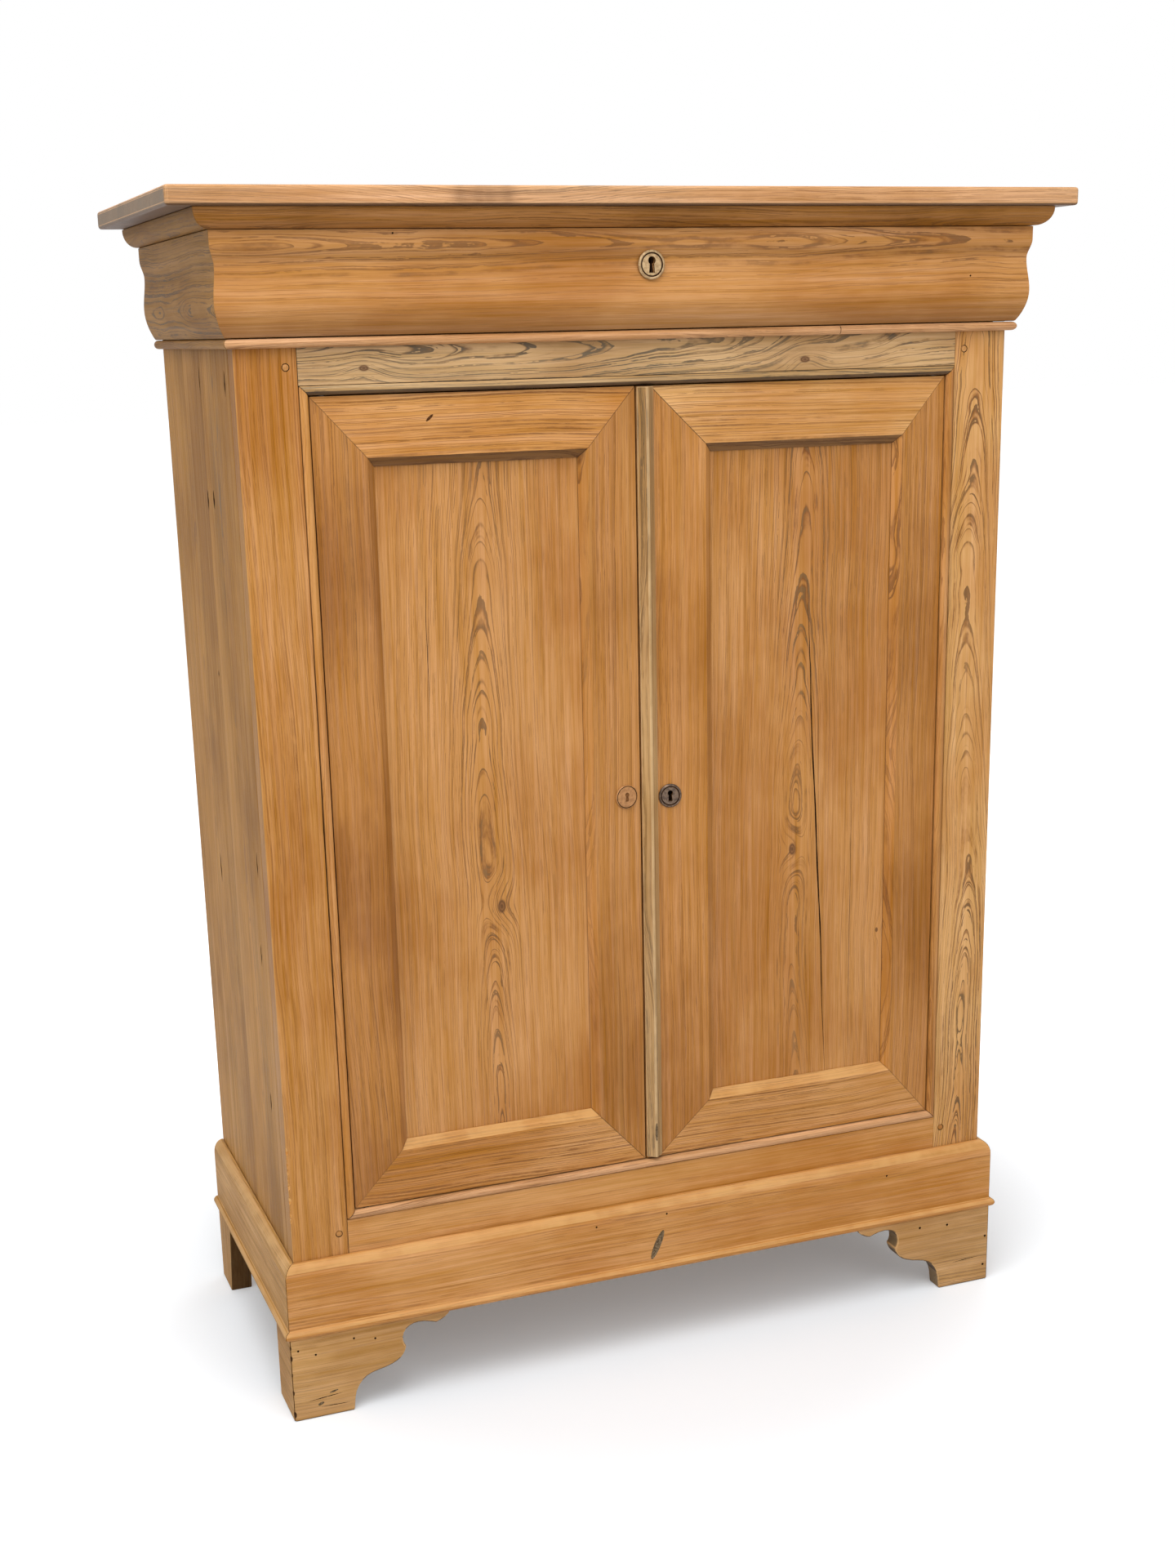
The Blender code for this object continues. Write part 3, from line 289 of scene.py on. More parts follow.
# %% The log, as a node group
def socket(group, name, kind, value=None):
    """One more input of the group, with the value it has when a board doesn't set it."""
    made = group.interface.new_socket(name=name, in_out="INPUT", socket_type="NodeSocket" + kind)
    if value is not None:
        made.default_value = value


log = bpy.data.node_groups.new("pine_log", "ShaderNodeTree")
socket(log, "Place", "Vector")
for name, value in (
    ("Heart", 0.05),
    ("Taper", 0.03),
    ("Ring", 0.004),
    ("Waver", 0.008),
    ("Swell", 0.0),
    ("Knot", 0.0),
    ("Figure", 0.7),
    ("Lines", 0.35),
    ("Grey", 0.3),
    ("Outline", 0.2),
    ("Stain", 0.32),
    ("Pale", 0.12),
    ("Gain", 1.0),
    ("Seed", 0.0),
):
    socket(log, name, "Float", value)
WOOD = ("Early", "Deep", "Late", "Weathered", "Rubbed")
for name in WOOD:
    socket(log, name, "Color", (0.5, 0.3, 0.1, 1.0))
log.interface.new_socket(name="Color", in_out="OUTPUT", socket_type="NodeSocketColor")
for name in ("Roughness", "Height"):
    log.interface.new_socket(name=name, in_out="OUTPUT", socket_type="NodeSocketFloat")

given = log.nodes.new("NodeGroupInput").outputs
made = log.nodes.new("NodeGroupOutput").inputs
parts = log.nodes.new("ShaderNodeSeparateXYZ")
feed(log, parts.inputs[0], given["Place"])
across, along, inward = parts.outputs
spot = place_calc(log, "ADD", given["Place"], given["Seed"])


def grain(across_cells, along_cells, detail=2.0, rough=0.5):
    """Noise in the log: so many cells a metre across the grain, and so many along it."""
    return cloud(log, spot, (across_cells, along_cells, across_cells), detail, rough)


def about_zero(noise):
    return calc(log, "SUBTRACT", noise, 0.5)


def times(first, second):
    return calc(log, "MULTIPLY", first, second)


def times_plus(first, second, more):
    """The first times the second, plus the third."""
    return calc(log, "MULTIPLY_ADD", first, second, more)


print("inputs of the log:", len(given) - 1)

# %% How far a place is from the heart of the log
BENT_BY = 0.05
FLAT_SAWN = 2.5
drift = times_plus(about_zero(grain(1.2, 1.9)), BENT_BY, across)
swing = about_zero(grain(3.1, 4.6, 3.5, 0.45))
heart = times_plus(along, given["Taper"], given["Heart"])
heart = times_plus(swing, times(given["Waver"], 2.0), heart)
heart = calc(log, "ADD", heart, inward)
squares = calc(log, "ADD", calc(log, "POWER", drift, 2.0), calc(log, "POWER", heart, 2.0))
reach = calc(log, "SQRT", squares)
flat = calc(log, "POWER", calc(log, "DIVIDE", calc(log, "ABSOLUTE", heart), reach), FLAT_SAWN)
reach = calc(log, "ADD", reach, given["Swell"])
print("nodes for the heart:", len(log.nodes))

# %% [markdown]
# The distance divided by the width of a ring counts the years. No two years
# grow alike, so a little noise along the count makes rings wide or narrow,
# and a dice roll for each year makes its late wood dark or faint. Late wood
# starts softly within a year and ends sharply at the winter.

# %% Rings, year by year
UNEVEN_YEARS = 2.2
SHIVER = 1.15
WINTER = (0.95, 1.0, 1.0, 0.0)
shiver = about_zero(grain(58.0, 24.0, 4.0, 0.6))
turns = calc(log, "DIVIDE", reach, given["Ring"])
weather = log.nodes.new("ShaderNodeTexNoise")
weather.noise_dimensions = "1D"
feed(log, weather.inputs["W"], times(turns, 0.45))
turns = times_plus(about_zero(weather.outputs["Fac"]), UNEVEN_YEARS, turns)
turns = times_plus(shiver, SHIVER, turns)
year = calc(log, "FRACT", turns)
dice = log.nodes.new("ShaderNodeTexWhiteNoise")
dice.noise_dimensions = "1D"
feed(log, dice.inputs["W"], calc(log, "FLOOR", turns))
band = times(ease(log, year, 0.5, 0.86), ease(log, year, *WINTER))
band = times(band, times_plus(band, 0.6, 0.4))
band = times(band, times_plus(dice.outputs["Value"], 0.6, 0.4))
patch = ease(log, grain(9.0, 2.6), 0.3, 0.7)
more = calc(log, "SUBTRACT", given["Figure"], given["Lines"])
force = times_plus(flat, more, given["Lines"])
force = times(force, times_plus(patch, 0.7, 0.5))
late = calc(log, "MINIMUM", times(band, force), 1.0)
print("nodes with the rings:", len(log.nodes))

# %% [markdown]
# Old pine isn't one colour with lines on it. The early wood is clouded from
# light to deep, the late wood is brown, and where damp has got in it turns
# grey, most of all in the late wood and along its edge. Over that lie fine
# fibres, longer strands and broad streaks that only change how light it is,
# then grey hairs, brown knots and short dark pores.

# %% Early wood, late wood and grey
cloudy = about_zero(grain(7.3, 3.7, 4.0, 0.62))
color = blend(log, ease(log, cloudy, -0.12, 0.16), given["Early"], given["Deep"])
color = blend(log, late, color, given["Late"])
ash = times(ease(log, grain(10.0, 2.3), 0.42, 0.66), given["Grey"])
ash = times(ash, times_plus(late, 1.3, 0.14))
color = blend(log, calc(log, "MINIMUM", ash, 1.0), color, given["Weathered"])
outline = times(ease(log, year, 0.76, 0.9), ease(log, year, *WINTER))
outline = times(times(outline, force), given["Outline"])
color = blend(log, calc(log, "MINIMUM", outline, 1.0), color, given["Weathered"])
print("nodes with the colours:", len(log.nodes))

# %% Fibres, strands, streaks, hairs, knots and pores
FIBRE_CONTRAST = 0.3
STRAND_CONTRAST = 0.55
STREAK_CONTRAST = 0.4
STAIN_CONTRAST = -0.5
PALE_IS_DULLER = 0.45
KNOT_BROWN = tone(88, 54, 30)
fibre = grain(880.0, 21.0, 3.0, 0.65)
strand = grain(230.0, 4.5, 3.0, 0.6)
streak = grain(78.0, 1.7, 4.0, 0.65)
value = times_plus(about_zero(fibre), FIBRE_CONTRAST, given["Gain"])
value = times_plus(about_zero(strand), STRAND_CONTRAST, value)
value = times_plus(about_zero(streak), STREAK_CONTRAST, value)
value = times_plus(times(cloudy, given["Stain"]), STAIN_CONTRAST, value)
strength = times_plus(calc(log, "SUBTRACT", 1.0, value), PALE_IS_DULLER, 1.0)
hue = log.nodes.new("ShaderNodeHueSaturation")
feed(log, hue.inputs["Color"], color)
feed(log, hue.inputs["Value"], value)
feed(log, hue.inputs["Saturation"], strength)
hair = ease(log, grain(310.0, 4.5, 3.0, 0.7), 0.56, 0.72)
tuft = ease(log, grain(13.0, 3.1), 0.5, 0.7)
hair = times(times(hair, tuft), 0.5)
color = blend(log, hair, hue.outputs["Color"], given["Weathered"])
color = blend(log, given["Knot"], color, KNOT_BROWN)
pore = ease(log, grain(600.0, 9.5), 0.66, 0.74)
color = blend(log, times(pore, 0.4), color, given["Late"])
pale = ease(log, grain(46.0, 1.1, 3.0, 0.6), 0.55, 0.7)
color = blend(log, times(pale, given["Pale"]), color, given["Rubbed"])
print("nodes with the fibres:", len(log.nodes))

# %% [markdown]
# The rest depends on the face. Cells further down write four numbers on each face of a board: whether it is
# a rubbed arris, where upward ledges are rubbed paler still as painted highlight; a seam, which holds grime
# in closed joints and painted shade under things, on frame edges and in hollows; end grain; or the flank of
# a post, tinted darker as painted shade. The log reads them back here, so one group serves every board.
# Dark late wood is a little smoother than the pale wood and stands higher, and pores and hairs are hollows.

# %% Grime and painted shade, rubbing and painted highlight, gloss and height
def face_mark(name):
    """A number that the cells below write on each face of a board."""
    mark = log.nodes.new("ShaderNodeAttribute")
    mark.attribute_name = name
    return mark.outputs["Fac"]


# The sideways faces of the posts are tinted darker and greyer: painted shade, like the side of the cabinet.
PAINTED_FLANK_SHADE = (0.82, 0.85, 0.80, 1.0)
# The colour of dirt in joints, and of painted shade.
GRIME_AND_PAINTED_SHADE = tone(58, 38, 24)
DARKEST_MARK = 0.8
color = blend(log, face_mark("painted_flank_shade"), color, PAINTED_FLANK_SHADE, "MULTIPLY")
color = blend(log, times(face_mark("end_grain"), DARKEST_MARK), color, given["Weathered"])
# Free arrises are rubbed paler by wear; upward ledges are rubbed paler still, partly as painted highlight.
rub_and_highlight = ease(log, grain(31.0, 31.0, 3.0), 0.35, 0.65)
rub_and_highlight = times(times_plus(rub_and_highlight, 0.25, 0.25), face_mark("arris"))
color = blend(log, rub_and_highlight, color, given["Rubbed"])
# The seam mark lays dirt in closed joints, and painted shade under things, on frame edges and in hollows.
color = blend(log, times(face_mark("seam"), DARKEST_MARK), color, GRIME_AND_PAINTED_SHADE)
feed(log, made["Color"], color)
rough = times_plus(late, -0.06, 0.42)
feed(log, made["Roughness"], times_plus(fibre, 0.18, rough))
ridge = times_plus(fibre, 0.5, times(late, 0.5))
hollows = times(calc(log, "ADD", pore, hair), 0.5)
feed(log, made["Height"], calc(log, "SUBTRACT", ridge, hollows))
print("pine_log nodes:", len(log.nodes))

# %% [markdown]
# Each board is cut from its own log, so each gets its own settings: which
# way its grain runs, how far its face is from the heart, how wide the rings
# are, and how much of its figure and greyness shows. The swap of axes below
# turns the cabinet's left-right, front-back and up-down into the board's
# across, inward and along, and a Mapping node sets the board's own centre.
# A shade is five colours: light and deep early wood, late wood, weathered
# wood and rubbed wood.

# %% Ways of the grain, and shades of the wood
RUNS = {
    "up": ("X", "Z", "Y"),
    "cross": ("Z", "X", "Y"),
    "side_up": ("Y", "Z", "X"),
    "side_cross": ("Z", "Y", "X"),
    "lying": ("Y", "X", "Z"),
}
SHADES = {
    "honey": ((197, 141, 80), (182, 122, 60), (133, 80, 32), (126, 92, 54), (208, 160, 100)),
    "amber": ((190, 134, 74), (172, 114, 56), (128, 76, 32), (120, 86, 50), (202, 152, 92)),
    "tawny": ((182, 124, 62), (160, 104, 47), (118, 70, 30), (114, 84, 50), (198, 148, 88)),
    "brown": ((176, 119, 58), (152, 98, 46), (112, 66, 28), (112, 82, 50), (192, 142, 84)),
    # The bed moulding's own dark tone, darkened further as painted shade under the top board.
    "dusky_and_shaded": ((158, 107, 56), (134, 88, 43), (88, 52, 24), (92, 72, 50), (172, 126, 76)),
    "straw": ((206, 156, 96), (190, 134, 74), (136, 84, 38), (108, 82, 50), (214, 166, 106)),
    "dry": ((200, 154, 98), (178, 132, 78), (130, 88, 46), (116, 98, 72), (210, 168, 116)),
    "rose": ((206, 156, 110), (190, 138, 90), (146, 96, 56), (100, 87, 68), (214, 170, 124)),
    "ash": ((194, 156, 108), (172, 132, 86), (118, 84, 48), (92, 82, 66), (218, 184, 138)),
    "side": ((184, 132, 66), (155, 107, 50), (124, 79, 37), (124, 101, 68), (196, 149, 93)),
    "shade": ((166, 122, 68), (142, 100, 54), (96, 62, 30), (100, 84, 60), (184, 138, 86)),
    "bare": ((200, 160, 110), (186, 142, 92), (156, 110, 66), (150, 130, 100), (210, 172, 122)),
}
print("shades:", sorted(SHADES))

# %% [markdown]
# A knot is the foot of a branch. The rings swell round it and close over it,
# and it shows as a dark eye with fine rings of its own. So a knot pushes the
# measured distance outwards near it, and darkens its middle.

# %% Knots
KNOT_PUSH = 0.9
KNOT_FADE = -0.35
KNOT_DARK = 0.8
KNOT_RINGS = 26.0
KNOT_RING_DEPTH = 0.15
KNOT_RIM = (0.28, 0.5)
FULL_EYE = 1.7


def knot_marks(tree, place, knots):
    """How all the knots swell the rings, and how dark their eyes are. A knot is given as its place
    across and along the board, its size, and how many times longer than wide it is. A very long
    one is only a stain, so its eye is fainter."""
    swell = 0.0
    eye = 0.0
    for knot_across, knot_along, size, longer in knots:
        length = size * longer
        move = tree.nodes.new("ShaderNodeMapping")
        move.inputs["Location"].default_value = (-knot_across / size, -knot_along / length, 0.0)
        move.inputs["Scale"].default_value = (1 / size, 1 / length, 0.0)
        feed(tree, move.inputs["Vector"], place)
        away = distance(tree, move.outputs[0])
        push = calc(tree, "EXPONENT", calc(tree, "MULTIPLY", calc(tree, "POWER", away, 2.0), KNOT_FADE))
        swell = calc(tree, "MULTIPLY_ADD", push, size * KNOT_PUSH, swell)
        strength = KNOT_DARK * min(1.0, FULL_EYE / longer)
        ring = calc(tree, "SINE", calc(tree, "MULTIPLY", away, KNOT_RINGS))
        ring = calc(tree, "MULTIPLY_ADD", ring, KNOT_RING_DEPTH * strength, strength)
        inside = ease(tree, away, *KNOT_RIM, 1.0, 0.0)
        eye = calc(tree, "MAXIMUM", calc(tree, "MULTIPLY", inside, ring), eye)
    return swell, eye


print("a knot's eye is at most", KNOT_DARK, "dark")

# %% [markdown]
# A wide panel is glued up from several boards, and each came from another
# log. Past each glued joint the heart jumps aside and the noise starts at
# another place, and the joint itself is a thin dark line.

# %% One board of pine
BUMP_HEIGHT = 0.0006
BUMP_STRENGTH = 0.6
GLUE_LINE = (0.0002, 0.0008, 0.7, 0.0)
OTHER_LOG = 11.3


def board_place(tree, run, centre):
    """A place on the board as across, along and into its face, from the board's own centre."""
    where = tree.nodes.new("ShaderNodeTexCoord")
    split = tree.nodes.new("ShaderNodeSeparateXYZ")
    feed(tree, split.inputs[0], where.outputs["Object"])
    join = tree.nodes.new("ShaderNodeCombineXYZ")
    for socket_in, axis in zip(join.inputs, RUNS[run]):
        feed(tree, socket_in, split.outputs[axis])
    board = tree.nodes.new("ShaderNodeMapping")
    board.inputs["Location"].default_value = [-centre["XYZ".index(axis)] for axis in RUNS[run]]
    feed(tree, board.inputs["Vector"], join.outputs[0])
    return board.outputs[0]


def glue(tree, board, joints, seed, dark):
    """The place in the log, the seed and the darkness, changed by each joint (place, jump)."""
    place = board
    apart = tree.nodes.new("ShaderNodeSeparateXYZ")
    feed(tree, apart.inputs[0], board)
    for joint, jump in joints:
        step = calc(tree, "GREATER_THAN", apart.outputs["X"], joint)
        gap = calc(tree, "ABSOLUTE", calc(tree, "SUBTRACT", apart.outputs["X"], joint))
        dark = calc(tree, "MAXIMUM", ease(tree, gap, *GLUE_LINE), dark)
        place = place_calc(tree, "MULTIPLY_ADD", step, (-jump, 0.0, 0.0), place)
        seed = calc(tree, "MULTIPLY_ADD", step, OTHER_LOG, seed)
    return place, seed, dark


def pine(name, run, centre, shade, seed, knots=(), joints=(), aside=0.0, gloss=0.2, **settings):
    """A material that is one board of pine, or several glued ones. aside is how far beside the
    board the heart of its log was, and the settings are inputs of the log."""
    material, tree = new_material(name)
    board = board_place(tree, run, centre)
    swell, dark = knot_marks(tree, board, knots)
    place, seed, dark = glue(tree, board, joints, seed, dark)
    heart_place = tree.nodes.new("ShaderNodeMapping")
    heart_place.inputs["Location"].default_value = (aside, 0.0, 0.0)
    feed(tree, heart_place.inputs["Vector"], place)
    wood = tree.nodes.new("ShaderNodeGroup")
    wood.node_tree = log
    feed(tree, wood.inputs["Place"], heart_place.outputs[0])
    feed(tree, wood.inputs["Seed"], seed)
    feed(tree, wood.inputs["Swell"], swell)
    feed(tree, wood.inputs["Knot"], dark)
    for label, colour in zip(WOOD, SHADES[shade]):
        wood.inputs[label].default_value = tone(*colour)
    for label, number in settings.items():
        wood.inputs[label.capitalize()].default_value = number
    color, rough, height = wood.outputs
    wire_surface(tree, color, rough, gloss, height, BUMP_STRENGTH, BUMP_HEIGHT)
    return material


print("ways of the grain:", sorted(RUNS))

# %% [markdown]
# After a hundred and fifty years no arris on the cabinet is sharp. A CAD
# solid ends in edges with no width, which catch no light and look drawn. So
# each board that shows is copied, its triangles are merged back into whole
# faces, and a narrow rounded bevel wears every edge. The copy then stands
# for the CAD board, and rides where that board rides.

# %% Wearing the arrises of a board
SAME_POINT = 0.00002
SAME_PLANE = math.radians(0.4)


def select_only(piece):
    """An operator acts on all that is selected, so nothing else may be."""
    bpy.ops.object.select_all(action="DESELECT")
    piece.select_set(True)
    bpy.context.view_layer.objects.active = piece


def use_modifier(piece, kind, **settings):
    """Adds a modifier with these settings and applies it at once."""
    modifier = piece.modifiers.new(kind.lower(), kind)
    for label, value in settings.items():
        setattr(modifier, label, value)
    select_only(piece)
    bpy.ops.object.modifier_apply(modifier=modifier.name)


def open_piece():
    """Opens the active piece for modelling, with all of it selected."""
    bpy.ops.object.mode_set(mode="EDIT")
    bpy.ops.mesh.select_all(action="SELECT")


def board_copy(node_name):
    """A copy of a CAD board with its loose triangles merged into whole faces."""
    piece = bpy.data.objects.new("worn_" + node_name, nodes[node_name].data.copy())
    bpy.context.scene.collection.objects.link(piece)
    select_only(piece)
    open_piece()
    bpy.ops.mesh.remove_doubles(threshold=SAME_POINT)
    bpy.ops.mesh.dissolve_limited(angle_limit=SAME_PLANE)
    bpy.ops.object.mode_set(mode="OBJECT")
    return piece


def wear_edges(piece, width, least_angle):
    """Rounds every edge sharper than least_angle, and says for each face whether it is a new one."""
    piece.data.materials.append(None)
    select_only(piece)
    bpy.ops.object.shade_smooth_by_angle(angle=math.radians(least_angle))
    use_modifier(
        piece,
        "BEVEL",
        width=width,
        segments=2,
        limit_method="ANGLE",
        angle_limit=math.radians(least_angle),
        material=1,
        harden_normals=True,
    )
    rounded = [polygon.material_index == 1 for polygon in piece.data.polygons]
    for polygon in piece.data.polygons:
        polygon.material_index = 0
    piece.data.materials.pop(index=1)
    return rounded


def stand_for(piece, node_name):
    """Lets the piece take the place of a CAD node on its body, and hides the node."""
    source = nodes[node_name]
    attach(piece, source["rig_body"])
    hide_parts(node_name)


print("points closer than", SAME_POINT * 1000, "mm are merged")

# %% [markdown]
# Grime and rubbing tell how a cabinet was used. A worn edge that meets another board holds grime, and a
# free one is rubbed paler. Painted shade darkens the edges of the doors' frames and what faces down: the
# feet, the eaves of the top board, the bead over the doors, the undersides of the doors' top rails and the
# hollows of the drawer front. The tops of the doors' top rails under the bead and the fronts of the back
# feet get painted shadow, and the beads' joints hold dirt and painted shade. What faces up is rubbed paler,
# partly as painted highlight: the plinth's sloping top and the ledges over the doors' bottom rails. End
# grain drinks more dirt than the rest. All this follows from a face's place and normal, so it is worked out
# in code, and no mask has to be painted.

# %% Grime, painted shade and highlight, rubbing and end grain, face by face
JOINT_REACH = 0.0014
SEAM_REACH = 0.00065
SLOPING = 0.3
LEVEL = 0.95
EDGE_ON = 0.35
END_ON = 0.8
SIDEWAYS = 0.9
# How dark the frame edges, the rails' undersides and the hollows are painted: painted shade, with dirt in
# the beads' joints.
EDGE_GRIME_AND_SHADE = 0.65
UNDER_RAIL_PAINTED_SHADE = 0.85
HOLLOW_PAINTED_SHADE = 0.8
MOST_HOLLOW = 0.5
# Upward ledges are rubbed more than arrises: wear and painted highlight.
LEDGE_RUB_AND_HIGHLIGHT = 1.4
FRAMES = ("stile", "door_top_rail", "door_bottom_rail")
BEADS = ("opening_bead", "astragal", "bed_moulding")
# The undersides of these are painted black as shade.
PAINTED_SHADE_BELOW = ("top_board", "opening_bead_top", "foot")
solids = {}
for name, node in nodes.items():
    corners = [vertex.co for vertex in node.data.vertices]
    solids[name] = BVHTree.FromPolygons(corners, [polygon.vertices for polygon in node.data.polygons])


def neighbours(node_name):
    """The boards whose boxes come within a joint's reach of this one's."""
    low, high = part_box(node_name)
    found = []
    for other, solid in solids.items():
        other_low, other_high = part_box(other)
        apart = [max(a - d, c - b) for a, b, c, d in zip(low, high, other_low, other_high)]
        if other != node_name and max(apart) < JOINT_REACH:
            found.append(solid)
    return found


def nearest_board(place, near):
    """How far off the nearest other board is, up to a joint's reach."""
    gaps = [solid.find_nearest(place, JOINT_REACH)[3] for solid in near]
    return min([gap for gap in gaps if gap is not None], default=JOINT_REACH)


def is_ledge(node_name, turned):
    """True for the plinth's sloping top and for the slope over a door's bottom rail."""
    if node_name.startswith("plinth"):
        return SLOPING < turned.z < LEVEL
    return node_name.endswith("door_bottom_rail") and turned.z > SLOPING


def grime_and_painted_shade(node_name, turned, gap, closed_edge):
    """How much grime a face holds, from 0 to 1: dirt in closed joints, and painted shade under things, on
    the door rails' tops and edges and in the drawer front's hollows.
    """
    over_door = node_name.endswith("door_top_rail")
    faces_down = turned.z < -SLOPING
    # Closed joints hold real dirt; the tops of the doors' top rails get painted shadow from the bead over
    # them.
    joint_dirt_and_shade = (closed_edge and gap < SEAM_REACH) or (over_door and turned.z > SLOPING)
    # Undersides of the top board, the bead over the doors and the feet are painted black as shade.
    joint_dirt_and_shade = joint_dirt_and_shade or (faces_down and node_name.startswith(PAINTED_SHADE_BELOW))
    # The fronts of the back feet, under the cabinet, are painted black as shade.
    if joint_dirt_and_shade or (node_name.startswith("foot_back") and turned.y < -0.5):
        return 1.0
    # The undersides of the doors' top rails get painted shade.
    if over_door and faces_down:
        return UNDER_RAIL_PAINTED_SHADE
    # The edges of the doors' frames get painted shade; the beads' joints get dirt and painted shade.
    framed = node_name.endswith(FRAMES) and abs(turned.y) < EDGE_ON and not is_ledge(node_name, turned)
    if framed or (node_name.startswith(BEADS) and gap < SEAM_REACH):
        return EDGE_GRIME_AND_SHADE
    # The drawer front's downward hollows get painted shade.
    return min(HOLLOW_PAINTED_SHADE * max(0.0, -turned.z), MOST_HOLLOW) * (node_name == "drawer_front")


def mark_faces(piece, node_name, rounded, grain_axis, open_mitre):
    """Writes the four numbers that the log reads on each face of the board."""
    near = neighbours(node_name)
    marks = {"arris": [], "seam": [], "end_grain": [], "painted_flank_shade": []}
    for polygon, is_round in zip(piece.data.polygons, rounded):
        turned = polygon.normal
        gap = nearest_board(polygon.center, near)
        free = open_mitre or gap >= JOINT_REACH
        # Upward ledges get the strongest rubbing: partly wear, partly painted highlight.
        rub_and_highlight_mark = LEDGE_RUB_AND_HIGHLIGHT if is_ledge(node_name, turned) else float(is_round and free)
        marks["arris"].append(rub_and_highlight_mark)
        marks["seam"].append(grime_and_painted_shade(node_name, turned, gap, is_round and not free))
        marks["end_grain"].append(float(not is_round and abs(turned[grain_axis]) > END_ON))
        # A post's sideways faces take the painted shade of the flank.
        marks["painted_flank_shade"].append(float(node_name.startswith("post") and abs(turned.x) > SIDEWAYS))
    for name, values in marks.items():
        piece.data.attributes.new(name, "FLOAT", "FACE").data.foreach_set("value", values)


print("solids to meet:", len(solids))

# %% [markdown]
# The table below is the cutting list. Each row gives one board or a pair,
# the way of the grain, the shade, and the style of its figure: straight
# lines, strong lines, flames or loops. What a row adds was read off the
# photograph for that board alone.

# %% The boards, one by one
STRAIGHT = {"aside": 0.09, "heart": 0.05, "taper": 0.008, "ring": 0.0027, "waver": 0.008}
STRAIGHT |= {"figure": 0.8, "lines": 0.75, "grey": 0.15}
LINED = {"aside": 0.06, "heart": 0.025, "taper": 0.012, "ring": 0.0036, "waver": 0.010}
LINED |= {"figure": 1.2, "lines": 1.1, "grey": 0.15, "outline": 0.3}
FLAMED = {"heart": 0.031, "taper": 0.045, "ring": 0.0027, "waver": 0.008}
FLAMED |= {"figure": 1.2, "lines": 0.35, "grey": 0.3, "outline": 0.9}
LOOPED = {"aside": 0.015, "heart": 0.045, "taper": 0.012, "ring": 0.0036, "waver": 0.012}
LOOPED |= {"figure": 0.9, "lines": 0.4, "grey": 0.2, "outline": 0.5}
DULL = {"gloss": 0.04}
